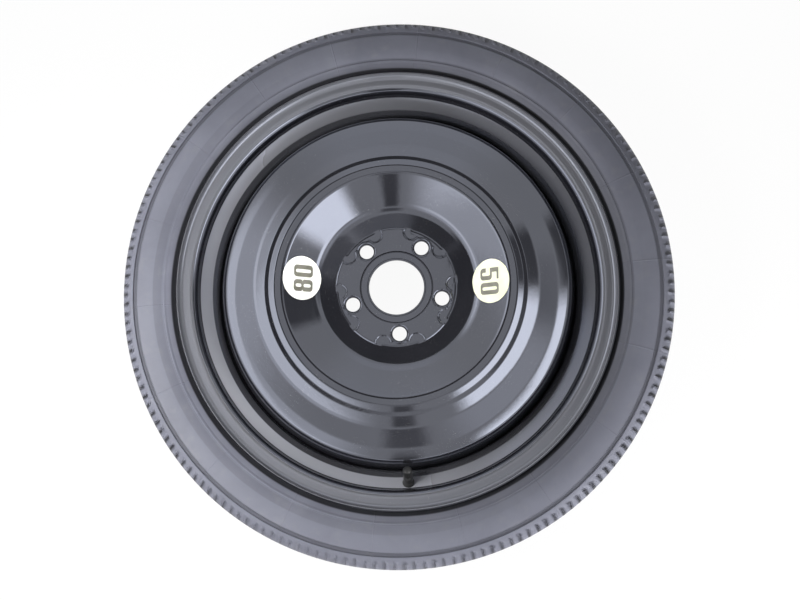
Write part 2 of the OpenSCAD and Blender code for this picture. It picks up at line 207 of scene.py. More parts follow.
def trace(bm: bmesh.types.BMesh, outline: Outline, closed: bool = True) -> list:
    """Draws an outline in the XZ plane.

    Args:
        bm: Mesh to draw in.
        outline: Points as (radius, height).
        closed: Whether the last point joins the first.

    Returns:
        The new vertices and edges.
    """
    verts = [bm.verts.new((r, 0, z)) for r, z in outline]
    pairs = list(zip(verts, verts[1:]))
    if closed:
        pairs.append((verts[-1], verts[0]))
    return verts + [bm.edges.new(pair) for pair in pairs]


def spin(bm: bmesh.types.BMesh, geometry: Sequence, turn: float, steps: int, **options: bool) -> dict:
    """Sweeps or copies geometry about Z.

    Args:
        bm: Mesh to work in.
        geometry: What is swept.
        turn: Angle of the whole sweep in radians.
        steps: Number of steps in it.
        options: Whether it merges or duplicates, as the operator names them.

    Returns:
        What the operator gives back.
    """
    return bmesh.ops.spin(
        bm, geom=geometry, axis=(0, 0, 1), cent=(0, 0, 0), angle=turn, steps=steps, **options
    )


def turned(degrees: float, axis: str = "Z") -> Matrix:
    """A rotation about an axis."""
    return Matrix.Rotation(math.radians(degrees), 4, axis)


def draw_in(vert: bmesh.types.BMVert, depth: float) -> None:
    """Moves a vertex straight towards the Z axis."""
    r = math.hypot(vert.co.x, vert.co.y)
    vert.co.x *= (r - depth) / r
    vert.co.y *= (r - depth) / r


def lathe(outline: Outline, steps: int, closed: bool = True) -> bmesh.types.BMesh:
    """A solid of revolution about Z.

    Args:
        outline: Its section, as (radius, height).
        steps: Steps round the full turn.
        closed: Whether the section is a closed loop. An open one starts and ends on the axis.

    Returns:
        The new mesh, closed and with its poles merged.
    """
    bm = bmesh.new()
    section = trace(bm, outline, closed)
    spin(bm, section, FULL_TURN, steps, use_merge=True)
    bmesh.ops.remove_doubles(bm, verts=bm.verts, dist=1e-4)
    bmesh.ops.dissolve_degenerate(bm, edges=bm.edges, dist=1e-5)
    return bm


def repeat_round(bm: bmesh.types.BMesh, count: int) -> None:
    """Copies the whole mesh round Z until there are count of it, and merges where they meet."""
    geometry = list(bm.verts) + list(bm.edges) + list(bm.faces)
    spin(bm, geometry, FULL_TURN * (count - 1) / count, count - 1, use_duplicate=True)
    bmesh.ops.remove_doubles(bm, verts=bm.verts, dist=1e-3)


def as_mesh(bm: bmesh.types.BMesh, name: str) -> bpy.types.Mesh:
    """Turns a mesh under work into one of the file's meshes, and frees it."""
    mesh = bpy.data.meshes.new(name)
    bm.to_mesh(mesh)
    bm.free()
    return mesh


def put_in_scene(data: bpy.types.ID) -> bpy.types.Object:
    """Links data into the scene as an object of the same name."""
    obj = bpy.data.objects.new(data.name, data)
    bpy.context.collection.objects.link(obj)
    return obj


def merge_in(bm: bmesh.types.BMesh, other: bmesh.types.BMesh) -> None:
    """Adds another mesh to bm and frees it."""
    spare = as_mesh(other, "spare")
    bm.from_mesh(spare)
    bpy.data.meshes.remove(spare)


def make_mesh(bm: bmesh.types.BMesh, name: str, crease: float) -> bpy.types.Mesh:
    """Turns a mesh under work into a finished one, in metres.

    Args:
        bm: Mesh in millimetres, which is freed.
        name: Name of the new mesh.
        crease: Angle in degrees above which an edge stays sharp.

    Returns:
        The mesh, with smooth faces that point outwards.
    """
    bmesh.ops.recalc_face_normals(bm, faces=bm.faces)
    bmesh.ops.scale(bm, vec=(MM, MM, MM), verts=bm.verts)
    for face in bm.faces:
        face.smooth = True
    for edge in bm.edges:
        edge.smooth = edge.calc_face_angle(0.0) < math.radians(crease)
    return as_mesh(bm, name)


def cut_away(bm: bmesh.types.BMesh, cutter: bmesh.types.BMesh) -> bmesh.types.BMesh:
    """Takes one closed mesh out of another.

    Args:
        bm: The mesh to cut, which is freed.
        cutter: What is taken out, which is freed too.

    Returns:
        What is left of bm.
    """
    objects = []
    for part in (bm, cutter):
        bmesh.ops.recalc_face_normals(part, faces=part.faces)
        objects.append(put_in_scene(as_mesh(part, "cut")))
    boolean = objects[0].modifiers.new("cut", "BOOLEAN")
    boolean.operation = "DIFFERENCE"
    boolean.solver = "EXACT"
    boolean.object = objects[1]
    graph = bpy.context.evaluated_depsgraph_get()
    left = bmesh.new()
    left.from_mesh(objects[0].evaluated_get(graph).to_mesh())
    for obj in objects:
        mesh = obj.data
        bpy.data.objects.remove(obj)
        bpy.data.meshes.remove(mesh)
    return left


def show(
    mesh: bpy.types.Mesh, materials: Sequence[bpy.types.Material], body: Body, slot: Slot, *stands_for: str
) -> bpy.types.Object:
    """Puts a finished mesh in the scene as a piece of the wheel.

    Args:
        mesh: Its mesh, in place and in metres.
        materials: Its materials, in the order of the faces' material numbers.
        body: The body it rides on.
        slot: The record's slot that matches it; not used.
        stands_for: The names of the solids that it replaces.

    Returns:
        The new object.
    """
    for material in materials:
        mesh.materials.append(material)
    piece = put_in_scene(mesh)
    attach(piece, body.value)
    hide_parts(*stands_for)
    log.info("%s: %d faces, rides on %s", piece.name, len(mesh.polygons), body.value)
    return piece


def dress(names: Sequence[str], material: bpy.types.Material) -> None:
    """Gives solids that keep their own mesh a better material.

    Args:
        names: Names of the solids.
        material: The material they all take.
    """
    for name in names:
        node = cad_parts[name]
        if not node.material_slots:
            node.data.materials.append(material)
        for holder in node.material_slots:
            holder.material = material
        log.info("%s: keeps its solid, finished as %s", name, material.name)


# Finishes


class NodeSheet:
    """A material's node tree, with short calls for the nodes that the finishes share."""

    def __init__(self, name: str) -> None:
        """Starts a material with one Principled shader.

        Args:
            name: Name of the material.
        """
        self.material = bpy.data.materials.new(name)
        self.material.use_nodes = True
        self.tree = self.material.node_tree
        self.tree.nodes.clear()
        self.output = self.tree.nodes.new("ShaderNodeOutputMaterial")
        self.shader = self.tree.nodes.new("ShaderNodeBsdfPrincipled")
        self.tree.links.new(self.shader.outputs[0], self.output.inputs[0])
        self.place = self.tree.nodes.new("ShaderNodeTexCoord").outputs["Object"]

    def plug(self, node: bpy.types.Node, socket: str | int, value: object) -> None:
        """Sets an input to a value, or links it to a socket."""
        if isinstance(value, bpy.types.NodeSocket):
            self.tree.links.new(value, node.inputs[socket])
        else:
            node.inputs[socket].default_value = value

    def set(self, **values: object) -> None:
        """Sets inputs of the shader, named with underscores for spaces."""
        for name, value in values.items():
            wanted = name.replace("_", " ").lower()
            for socket in self.shader.inputs:
                if socket.name.lower() == wanted:
                    self.plug(self.shader, socket.name, value)

    def math(
        self, operation: str, first: object, second: object = 0.0, clamp: bool = False
    ) -> bpy.types.NodeSocket:
        """One Math node.

        Args:
            operation: Blender's name for the operation.
            first: First number or socket.
            second: Second number or socket.
            clamp: Whether the result stays between 0 and 1.

        Returns:
            Its result.
        """
        node = self.tree.nodes.new("ShaderNodeMath")
        node.operation = operation
        node.use_clamp = clamp
        self.plug(node, 0, first)
        self.plug(node, 1, second)
        return node.outputs[0]

    def noise(self, scale: float, detail: float = 3.0, roughness: float = 0.5, stretch: Vector | None = None,
              warp: float = 0.0) -> bpy.types.NodeSocket:
        """A noise pattern on object coordinates.

        Args:
            scale: Waves for each metre.
            detail: Octaves of finer noise.
            roughness: Share that the finer octaves have.
            stretch: Scale along X, Y and Z, if the pattern isn't even.
            warp: How far the pattern distorts itself.

        Returns:
            The pattern, from 0 to 1.
        """
        node = self.tree.nodes.new("ShaderNodeTexNoise")
        node.inputs["Scale"].default_value = scale
        node.inputs["Detail"].default_value = detail
        node.inputs["Roughness"].default_value = roughness
        node.inputs["Distortion"].default_value = warp
        self.plug(node, "Vector", self.mapped(stretch) if stretch else self.place)
        return node.outputs["Fac"]

    def mapped(self, stretch: Vector) -> bpy.types.NodeSocket:
        """Object coordinates, scaled along each axis."""
        node = self.tree.nodes.new("ShaderNodeMapping")
        node.inputs["Scale"].default_value = stretch
        self.plug(node, "Vector", self.place)
        return node.outputs[0]

    def span(self, value: object, low: float, high: float, to_low: float = 0.0, to_high: float = 1.0,
             smooth: bool = False) -> bpy.types.NodeSocket:
        """A value moved from one range to another, and clamped.

        Args:
            value: Number or socket to map.
            low: Start of the range it comes from.
            high: End of that range.
            to_low: What the start becomes.
            to_high: What the end becomes.
            smooth: Whether the ends are eased.

        Returns:
            The mapped value.
        """
        node = self.tree.nodes.new("ShaderNodeMapRange")
        node.interpolation_type = "SMOOTHSTEP" if smooth else "LINEAR"
        self.plug(node, 0, value)
        for number, amount in enumerate((low, high, to_low, to_high), start=1):
            node.inputs[number].default_value = amount
        return node.outputs[0]

    def blend(self, factor: object, first: object, second: object) -> bpy.types.NodeSocket:
        """A mix of two colours.

        Args:
            factor: Share of the second colour.
            first: First colour or socket.
            second: Second colour or socket.

        Returns:
            The mixed colour.
        """
        node = self.tree.nodes.new("ShaderNodeMix")
        node.data_type = "RGBA"
        self.plug(node, 0, factor)
        self.plug(node, 6, first)
        self.plug(node, 7, second)
        return node.outputs[2]

    def parts(self, value: bpy.types.NodeSocket | None = None) -> tuple:
        """X, Y and Z of a vector, or of the object coordinates."""
        node = self.tree.nodes.new("ShaderNodeSeparateXYZ")
        self.plug(node, 0, value or self.place)
        return tuple(node.outputs)

    def radius(self) -> bpy.types.NodeSocket:
        """Distance from the wheel's axis, in metres."""
        x, y, _ = self.parts()
        return self.math("SQRT", self.math("ADD", self.math("MULTIPLY", x, x), self.math("MULTIPLY", y, y)))

    def turn(self) -> bpy.types.NodeSocket:
        """Angle round the wheel's axis, in radians."""
        x, y, _ = self.parts()
        return self.math("ARCTAN2", y, x)

    def ring(self, inner: float, outer: float, soft: float = 0.0006) -> bpy.types.NodeSocket:
        """A ring about the wheel's axis.

        Args:
            inner: Its inner radius in metres.
            outer: Its outer radius in metres.
            soft: Half the width of its soft edges in metres.

        Returns:
            1 on the ring, 0 off it.
        """
        radius = self.radius()
        start = self.span(radius, inner - soft, inner + soft, smooth=True)
        return self.math("SUBTRACT", start, self.span(radius, outer - soft, outer + soft, smooth=True))

    def sided_ring(self, ring: Ring, soft: float = 0.0006, drift: float = 205.0) -> bpy.types.NodeSocket:
        """A ring whose share grows towards one side of the wheel, for light and shade painted by side.

        Args:
            ring: Its inner and outer radius in metres, its share on the weak side and on the strong side.
            soft: Half the width of its soft edges in metres.
            drift: Angle in degrees at which it is strongest; 205 lies near the lamp at the left.

        Returns:
            Its share, 0 off the ring.
        """
        inner, outer, thin, thick = ring
        x, y, _ = self.parts()
        toward = self.math("ADD", self.math("MULTIPLY", x, math.cos(math.radians(drift))),
                           self.math("MULTIPLY", y, math.sin(math.radians(drift))))
        side = self.math("POWER", self.span(toward, -0.21, 0.22), 1.7)
        return self.math("MULTIPLY", self.ring(inner, outer, soft), self.span(side, 0.0, 1.0, thin, thick))

    def bump(self, height: bpy.types.NodeSocket, strength: float, distance: float) -> None:
        """Adds a bump to the shader's normal, on top of the bumps before it.

        Args:
            height: Pattern of heights, from 0 to 1.
            strength: Share of the effect.
            distance: Height of the pattern, in metres.
        """
        node = self.tree.nodes.new("ShaderNodeBump")
        node.inputs["Strength"].default_value = strength
        node.inputs["Distance"].default_value = distance
        self.plug(node, "Height", height)
        if self.shader.inputs["Normal"].links:
            self.plug(node, "Normal", self.shader.inputs["Normal"].links[0].from_socket)
        self.plug(self.shader, "Normal", node.outputs[0])


@dataclass(frozen=True)
class Finish:
    """What every finish shares."""

    def wire(self, nodes: NodeSheet) -> None:
        """Adds the finish's own nodes."""
        raise NotImplementedError

    def build(self, name: str) -> bpy.types.Material:
        """Makes the material.

        Args:
            name: Its name.

        Returns:
            The new material.
        """
        nodes = NodeSheet(name)
        self.wire(nodes)
        return nodes.material


@dataclass(frozen=True)
class BlackPaint(Finish):
    """Gloss black paint on pressed steel, with orange peel, dust, a few fine nicks and, where rings are
    given, rings of painted grey sheen.

    Attributes:
        colour: Colour of the paint.
        haze: Colour of the dust on it.
        nick: Colour of the nicks.
        painted_sheen: Grey painted into the rings as sheen.
        rings: Rings of painted grey sheen, each stronger on one side.
        peel_scale: Waves of the orange peel for each metre.
        roughness: Least roughness.
    """

    colour: Colour = (0.0075, 0.0075, 0.0095, 1)
    haze: Colour = (0.030, 0.030, 0.034, 1)
    nick: Colour = (0.62, 0.62, 0.60, 1)
    painted_sheen: Colour = (0.38, 0.385, 0.42, 1)
    rings: tuple[Ring, ...] = ()
    peel_scale: float = 260.0
    roughness: float = 0.05

    def wire(self, nodes: NodeSheet) -> None:
        """Adds the finish's own nodes."""
        haze = nodes.noise(9.0, 4.0, 0.55)
        specks = nodes.span(nodes.noise(1900.0, 1.0), 0.74, 0.80)
        dusty = nodes.math("MULTIPLY", specks, nodes.span(nodes.noise(30.0, 2.0), 0.45, 0.7))
        colour = nodes.blend(nodes.span(haze, 0.4, 0.75, 0, 0.25), self.colour, self.haze)
        roughness = nodes.span(haze, 0.35, 0.75, self.roughness, self.roughness + 0.07)
        # Painted sheen: each ring lifts the paint to grey and roughens it, more on one side of the wheel
        for ring in self.rings:
            share = nodes.sided_ring(ring)
            colour = nodes.blend(share, colour, self.painted_sheen)
            roughness = nodes.math("ADD", roughness, nodes.math("MULTIPLY", share, 0.35))
        nodes.set(
            base_color=nodes.blend(dusty, colour, self.nick),
            roughness=roughness,
            ior=2.1,
            specular_tint=(0.82, 0.86, 1.0, 1),
        )
        nodes.bump(nodes.noise(self.peel_scale, 2.0, 0.4), 0.10, 0.0002)
        nodes.bump(nodes.noise(34.0, 2.0, 0.5), 0.10, 0.0010)


@dataclass(frozen=True)
class WeldPaint(Finish):
    """Painted weld bead, rougher than the sheet beside it."""

    colour: Colour = (0.016, 0.016, 0.018, 1)
    scale_colour: Colour = (0.07, 0.06, 0.055, 1)

    def wire(self, nodes: NodeSheet) -> None:
        """Adds the finish's own nodes."""
        grain = nodes.noise(700.0, 4.0, 0.6)
        nodes.set(
            base_color=nodes.blend(nodes.span(grain, 0.5, 0.8), self.colour, self.scale_colour),
            roughness=nodes.span(grain, 0.3, 0.8, 0.3, 0.55),
            specular_ior_level=0.7,
        )
        nodes.bump(grain, 0.35, 0.0004)


@dataclass(frozen=True)
class Rubber(Finish):
    """Moulded rubber with a dull bloom.

    Attributes:
        colour: Colour of the plain rubber.
        bloom: Colour of the bloom on it.
        roughness: Least roughness of the surface.
        grain: Waves of the fine grain for each metre.
        mould_lines: Whether it has the radial lines of a tyre's mould.
        rings: Darker rings, most of them painted shade, each with its own share on both sides of the wheel.
        dark: Colour of those rings.
        scuff: Colour of the scuff marks.
        shine: How strongly it reflects.
        ring_edge: Half the width of a ring's soft edge in metres.
    """

    colour: Colour
    bloom: Colour
    roughness: float
    grain: float = 900.0
    mould_lines: bool = False
    rings: tuple[Ring, ...] = ()
    dark: Colour = (0.014, 0.014, 0.016, 1)
    scuff: Colour = (0.16, 0.16, 0.17, 1)
    shine: float = 0.35
    ring_edge: float = 0.0009

    def wire(self, nodes: NodeSheet) -> None:
        """Adds the finish's own nodes."""
        cloud = nodes.noise(11.0, 5.0, 0.6, warp=0.3)
        fine = nodes.noise(self.grain, 3.0, 0.6)
        colour = nodes.blend(nodes.span(cloud, 0.3, 0.72), self.colour, self.bloom)
        if self.mould_lines:
            colour = self.scuffed(nodes, colour)
        shine = self.shine
        # Darken the rings, most of them painted shade, and dull their reflection
        for ring in self.rings:
            share = nodes.sided_ring(ring, self.ring_edge)
            colour = nodes.blend(share, colour, self.dark)
            shine = nodes.math("SUBTRACT", shine, nodes.math("MULTIPLY", share, 0.3), clamp=True)
        nodes.set(
            base_color=colour,
            roughness=nodes.span(fine, 0.2, 0.8, self.roughness, self.roughness + 0.14),
            specular_ior_level=shine,
        )
        nodes.bump(fine, 0.25, 0.00012)
        if self.mould_lines:
            nodes.bump(self.vents(nodes), 0.6, 0.0004)

    def scuffed(self, nodes: NodeSheet, colour: bpy.types.NodeSocket) -> bpy.types.NodeSocket:
        """Streaks that run round the sidewall, from handling.

        Args:
            nodes: The tree to add to.
            colour: Colour of the clean rubber.

        Returns:
            The streaked colour.
        """
        rings = nodes.noise(60.0, 3.0, 0.6, Vector((1, 1, 6)))
        streak = nodes.span(rings, 0.55, 0.8, 0.0, 0.35)
        return nodes.blend(streak, colour, self.scuff)

    def vents(self, nodes: NodeSheet) -> bpy.types.NodeSocket:
        """Fine radial lines left by the mould's segments.

        Args:
            nodes: The tree to add to.

        Returns:
            Their heights, from 0 to 1.
        """
        wave = nodes.math("SINE", nodes.math("MULTIPLY", nodes.turn(), 18.0))
        return nodes.span(wave, 0.9985, 1.0)


@dataclass(frozen=True)
class Metal(Finish):
    """Turned or drawn metal.

    Attributes:
        colour: Colour of the clean metal.
        tarnish: Colour of its dull patches.
        roughness: Least roughness.
    """

    colour: Colour
    tarnish: Colour
    roughness: float

    def wire(self, nodes: NodeSheet) -> None:
        """Adds the finish's own nodes."""
        patches = nodes.noise(260.0, 4.0, 0.6)
        marks = nodes.noise(2600.0, 2.0, 0.5)
        nodes.set(
            base_color=nodes.blend(nodes.span(patches, 0.45, 0.8), self.colour, self.tarnish),
            metallic=1.0,
            roughness=nodes.span(patches, 0.3, 0.8, self.roughness, self.roughness + 0.2),
        )
        nodes.bump(marks, 0.2, 0.00004)


@dataclass(frozen=True)
class Plastic(Finish):
    """Moulded plastic or printed film.

    Attributes:
        colour: Main colour.
        shade: Colour of its faint patches.
        roughness: Least roughness.
        grain: Waves of its grain for each metre.
        relief: Height of the grain in metres.
    """

    colour: Colour
    shade: Colour
    roughness: float
    grain: float = 1400.0
    relief: float = 0.00003

    def wire(self, nodes: NodeSheet) -> None:
        """Adds the finish's own nodes."""
        patches = nodes.noise(70.0, 3.0, 0.55)
        grain = nodes.noise(self.grain, 2.0, 0.5)
        nodes.set(
            base_color=nodes.blend(nodes.span(patches, 0.35, 0.7), self.colour, self.shade),
            roughness=nodes.span(grain, 0.2, 0.8, self.roughness, self.roughness + 0.1),
            specular_ior_level=0.5,
        )
        nodes.bump(grain, 0.3, self.relief)


# Rim and tyre, drawn about the tyre's middle plane


@dataclass
class Rim:
    """Rolled steel rim with a drop centre, flanges and a hole for the valve.

    Attributes:
        seat_r: Radius of a bead seat where it meets the flange.
        width: Distance between the flanges.
        well_r: Outer radius of the drop centre.
        thickness: Of the sheet.
        offset: From the tyre's middle plane out to the mounting face.
    """

    seat_r: float = 231.0
    width: float = 101.6
    well_r: float = 211.0
    thickness: float = 2.4
    offset: float = 30.0
    flange_h: float = 18.8
    curl_r: float = 8.0
    heel_r: float = 6.0
    seat_taper: float = 5.0
    seat_w: float = 14.4
    inner_seat_w: float = 20.0
    slope: float = 46.0
    inner_slope: float = 45.0
    seat_bend: float = 5.0
    well_bend: float = 8.0
    lip_end: float = 1.0
    steps: int = 320

    @property
    def half(self) -> float:
        """Height of a flange's inner face above the middle plane."""
        return self.width / 2

    @property
    def curl(self) -> Point:
        """Centre of the flange's rolled edge."""
        return (self.seat_r + self.flange_h - self.curl_r, self.half + self.curl_r)

    @property
    def seat_end(self) -> Point:
        """Where the outboard bead seat turns down into the well."""
        return (self.seat_r - self.seat_w * math.tan(math.radians(self.seat_taper)), self.half - self.seat_w)

    @property
    def well_top(self) -> float:
        """Height of the well's outboard end."""
        drop = (self.seat_end[0] - self.well_r) / math.tan(math.radians(self.slope))
        return self.seat_end[1] - drop

    def path(self) -> Outline:
        """The tyre's side of the sheet, from the outboard lip to the inboard one."""
        lip = (self.curl[0] + self.curl_r, self.curl[1] + self.lip_end)
        curl = arc(self.curl, self.curl_r, 0, -90, 8)
        inner_end_r = self.seat_r - self.inner_seat_w * math.tan(math.radians(self.seat_taper))
        inner_end = (inner_end_r, -self.half + self.inner_seat_w)
        well_low = inner_end[1] + (inner_end_r - self.well_r) / math.tan(math.radians(self.inner_slope))
        corners = [(*lip, 0.0)]
        corners += [(*point, 0.0) for point in curl]
        corners += [
            (self.seat_r, self.half, self.heel_r),
            (*self.seat_end, self.seat_bend),
            (self.well_r, self.well_top, self.well_bend),
            (self.well_r, well_low, self.well_bend),
            (*inner_end, self.seat_bend),
            (self.seat_r, -self.half, self.heel_r),
        ]
        corners += [(*point, 0.0) for point in mirrored(curl)]
        corners.append((lip[0], -lip[1], 0.0))
        return rounded(corners)

    def build(self, valve: "Valve", paint: bpy.types.Material) -> None:
        """Makes the rim, with the valve's hole.

        Args:
            valve: The valve that goes through it.
            paint: Its material.
        """
        section = [(r, z - self.offset) for r, z in sheet(self.path(), self.thickness)]
        hole = lathe([(0, -9), (valve.hole_r, -9), (valve.hole_r, 4), (0, 4)], 48, closed=False)
        bmesh.ops.transform(hole, matrix=valve.stand(), verts=hole.verts)
        bm = cut_away(lathe(section, self.steps), hole)
        show(make_mesh(bm, "rim_shell", 38), [paint], Body.WHEEL, Slot.PAINT, "rim")


@dataclass
class Tyre:
    """Narrow tubeless tyre, with grooves, shoulder slots and fine cuts between them.

    Attributes:
        rim: The rim that it sits on.
        radius: Outside radius.
        half: Half the section width.
        widest_r: Radius where it is widest.
        sectors: Number of repeats of the tread round the tyre.
    """

    rim: Rim
    radius: float = 316.1
    half: float = 63.5
    widest_r: float = 277.0
    half_tread: float = 42.0
    shoulder_rise: float = 9.5
    shoulder_bend: float = 16.0
    crown_r: float = 400.0
    tread_t: float = 12.5
    wall_t: float = 7.0
    groove_w: float = 6.5
    groove_depth: float = 5.0
    groove_pitch: float = 23.0
    band: Point = (292.9, 297.9)
    band_depth: float = 1.3
    rib_r: float = 262.0
    rib_h: float = 0.8
    slot_w: float = 1.9
    slot_depth: float = 2.4
    cut_w: float = 0.8
    cut_depth: float = 1.6
    fit: float = 0.1
    sectors: int = 60
    buttress_drop: float = 3.3
    nub_count: int = 36

    @property
    def cushion(self) -> Point:
        """Where the lower sidewall leaves the flange."""
        return (self.rim.seat_r + self.rim.flange_h + 3.0, self.rim.half + 4.6)

    @property
    def buttress_r(self) -> float:
        """Radius where the shoulder starts."""
        return self.radius - 15

    @property
    def slot_foot_r(self) -> float:
        """Radius where a shoulder slot runs out on the sidewall."""
        return self.radius - 11.5

    @property
    def slot_from(self) -> float:
        """Distance from the middle plane at which a slot starts on the tread."""
        return self.groove_pitch + self.groove_w / 2 + 4

    def seat_at(self, z: float) -> float:
        """Radius of the bead against its seat, at a height."""
        taper = math.tan(math.radians(self.rim.seat_taper))
        return self.rim.seat_r + self.fit - (self.rim.half - z) * taper

    def tread_at(self, z: float) -> float:
        """Radius of the crowned tread at a height."""
        return self.radius - self.crown_r + math.sqrt(self.crown_r**2 - z * z)

    def wall_at(self, r: float) -> float:
        """Height of the sidewall at a radius."""
        if r < self.widest_r:
            share = (self.widest_r - r) / (self.widest_r - self.cushion[0])
            return self.half - (self.half - self.cushion[1]) * share**2
        share = (r - self.widest_r) / (self.buttress_r - self.widest_r)
        return self.half - self.buttress_drop * share**2

    def groove(self, z: float) -> Outline:
        """A main groove whose middle is at a height."""
        floor, side = self.tread_at(z) - self.groove_depth, self.groove_w / 2
        slant = self.groove_depth / 8
        return [
            (self.tread_at(z + side), z + side),
            (floor, z + side - slant),
            (floor, z - side + slant),
            (self.tread_at(z - side), z - side),
        ]

    def outside(self) -> Outline:
        """The outside of the section, from the outboard toe round to the inboard one."""
        toe_z = self.rim.seat_end[1] + 1.2
        heel = (self.seat_at(self.rim.half), self.rim.half - self.fit, 6.0)
        foot = [(self.seat_at(toe_z), toe_z, 0.0), heel]
        foot += [(*p, 0.0) for p in arc(self.rim.curl, self.rim.curl_r + self.fit, -90, -62, 2)]
        foot.append((*self.cushion, 0.0))
        rib = [(self.rib_r - 1.3, 0.0), (self.rib_r - 0.6, self.rib_h), (self.rib_r + 0.6, self.rib_h),
               (self.rib_r + 1.3, 0.0)]
        low = [self.cushion[0] + 2.4 * i for i in range(1, 4)]
        low_wall = [(r, self.wall_at(r)) for r in low]
        low_wall += [(r, self.wall_at(r) + rise) for r, rise in rib]
        low_wall += [(r, self.wall_at(r)) for r in (267.5, 272.0)]
        high_wall = [(r, self.wall_at(r)) for r in (277.0, 281.0, 285.0, 289.0)]
        start, end = self.band
        band = [(start, 0.0), (start + 0.3, -0.4), (start + 0.9, -self.band_depth),
                (end - 0.9, -self.band_depth), (end - 0.3, -0.4), (end, 0.0)]
        high_wall += [(r, self.wall_at(r) + rise) for r, rise in band]
        edge = self.tread_at(self.half_tread)
        corner = (edge - 0.8, self.half_tread + self.shoulder_rise)
        top = (self.buttress_r, self.wall_at(self.buttress_r))
        share = (self.slot_foot_r - top[0]) / (corner[0] - top[0])
        shoulder = rounded([
            (*top, 0.0),
            (self.slot_foot_r, top[1] + (corner[1] - top[1]) * share, 0.0),
            (*corner, self.shoulder_bend),
            (edge, self.half_tread, 0.0),
            (self.tread_at(36), 36.0, 0.0),
            (self.tread_at(self.slot_from), self.slot_from, 0.0),
        ], 5)
        half = rounded(foot, 2) + low_wall + high_wall + shoulder + self.groove(self.groove_pitch)
        return half + self.groove(0) + mirrored(half)

    def inside(self) -> Outline:
        """The air chamber's side of the section, from the outboard toe to the inboard one."""
        toe_z = self.rim.seat_end[1] + 1.2
        under = self.radius - self.tread_t
        half = rounded([
            (self.seat_at(toe_z), toe_z, 0.0),
            (self.rim.seat_r + 8, toe_z + 1, 6.0),
            (self.widest_r - 14, self.half - self.wall_t - 3.5, 14.0),
            (self.widest_r + 1, self.half - self.wall_t, 16.0),
            (under - 5, self.half - self.wall_t - 6, 14.0),
            (under, self.half - self.wall_t - 17.5, 30.0),
            (under + 0.5, 0.0, 0.0),
        ], 1)
        return half[1:] + mirrored(half)[1:-1]

    def columns(self) -> list[float]:
        """Angles in degrees at which the section is repeated within one sector of the tread."""
        sector = 360 / self.sectors
        slot = math.degrees(self.slot_w / self.radius) / 2
        cut = math.degrees(self.cut_w / self.radius) / 2
        marks = [-0.1 * sector]
        for number in range(6):
            width = slot if number % 3 == 0 else cut
            marks += [number * sector / 6 - width, number * sector / 6 + width]
        return marks + [0.9 * sector]

    def sector(self) -> bmesh.types.BMesh:
        """One sector of the tyre, with its slots and cuts sunk in."""
        bm = bmesh.new()
        section = trace(bm, self.outside() + self.inside()[::-1])
        marks = self.columns()
        bmesh.ops.transform(bm, matrix=turned(marks[0]), verts=bm.verts)
        for start, end in zip(marks, marks[1:]):
            section = spin(bm, section, math.radians(end - start), 1)["geom_last"]
        step = 360 / self.sectors / 6
        for number in range(6):
            wide = number % 3 == 0
            sides = {0: (1,), 3: (-1,)}.get(number, (1,) if number % 2 == 0 else (-1,))
            for side in sides:
                self.sink(bm, number * step, side, self.slot_depth if wide else self.cut_depth)
        return bm

    def sink(self, bm: bmesh.types.BMesh, angle: float, side: int, depth: float) -> None:
        """Sinks the faces of one shoulder slot or cut.

        Args:
            bm: The sector.
            angle: Middle of the slot in degrees.
            side: 1 for the outboard shoulder, -1 for the inboard one.
            depth: How deep it goes.
        """
        limit = math.degrees(self.slot_w / self.radius) / 2
        faces = []
        for face in bm.faces:
            middle = face.calc_center_median()
            r = math.hypot(middle.x, middle.y)
            off = abs(math.degrees(math.atan2(middle.y, middle.x)) - angle)
            if off < limit and middle.z * side > self.slot_from and r > self.slot_foot_r:
                faces.append(face)
        raised = bmesh.ops.extrude_face_region(bm, geom=faces)["geom"]
        for vert in (v for v in raised if isinstance(v, bmesh.types.BMVert)):
            r = math.hypot(vert.co.x, vert.co.y)
            reach = smooth_step(r, self.slot_foot_r - 1, self.slot_foot_r + 6)
            round_over = smooth_step(abs(vert.co.z), self.half_tread - 6, self.half_tread + 8)
            inward = Vector((-vert.co.x / r, -vert.co.y / r, -side * 0.8 * round_over)).normalized()
            vert.co += inward * depth * reach

    def nubs(self, bm: bmesh.types.BMesh) -> None:
        """Adds the short rubber hairs that the mould's vents leave on the shoulder."""
        r, z = self.radius - 7.2, self.half_tread + 12.0
        for number in range(self.nub_count):
            angle = FULL_TURN * (number + 0.37 * (number % 3)) / self.nub_count
            place = Matrix.Rotation(angle, 4, "Z") @ Matrix.Translation((r, 0, z))
            bmesh.ops.create_cone(bm, cap_ends=True, segments=6, radius1=0.55, radius2=0.3, depth=2.4,
                                  matrix=place @ turned(48, "Y"))

    def build(self, rubber: bpy.types.Material) -> None:
        """Makes the whole tyre.

        Args:
            rubber: Its material.
        """
        bm = self.sector()
        repeat_round(bm, self.sectors)
        self.nubs(bm)
        bmesh.ops.translate(bm, vec=(0, 0, -self.rim.offset), verts=bm.verts)
        show(make_mesh(bm, "tyre_body", 40), [rubber], Body.WHEEL, Slot.TYRE, "tyre")


# Disc


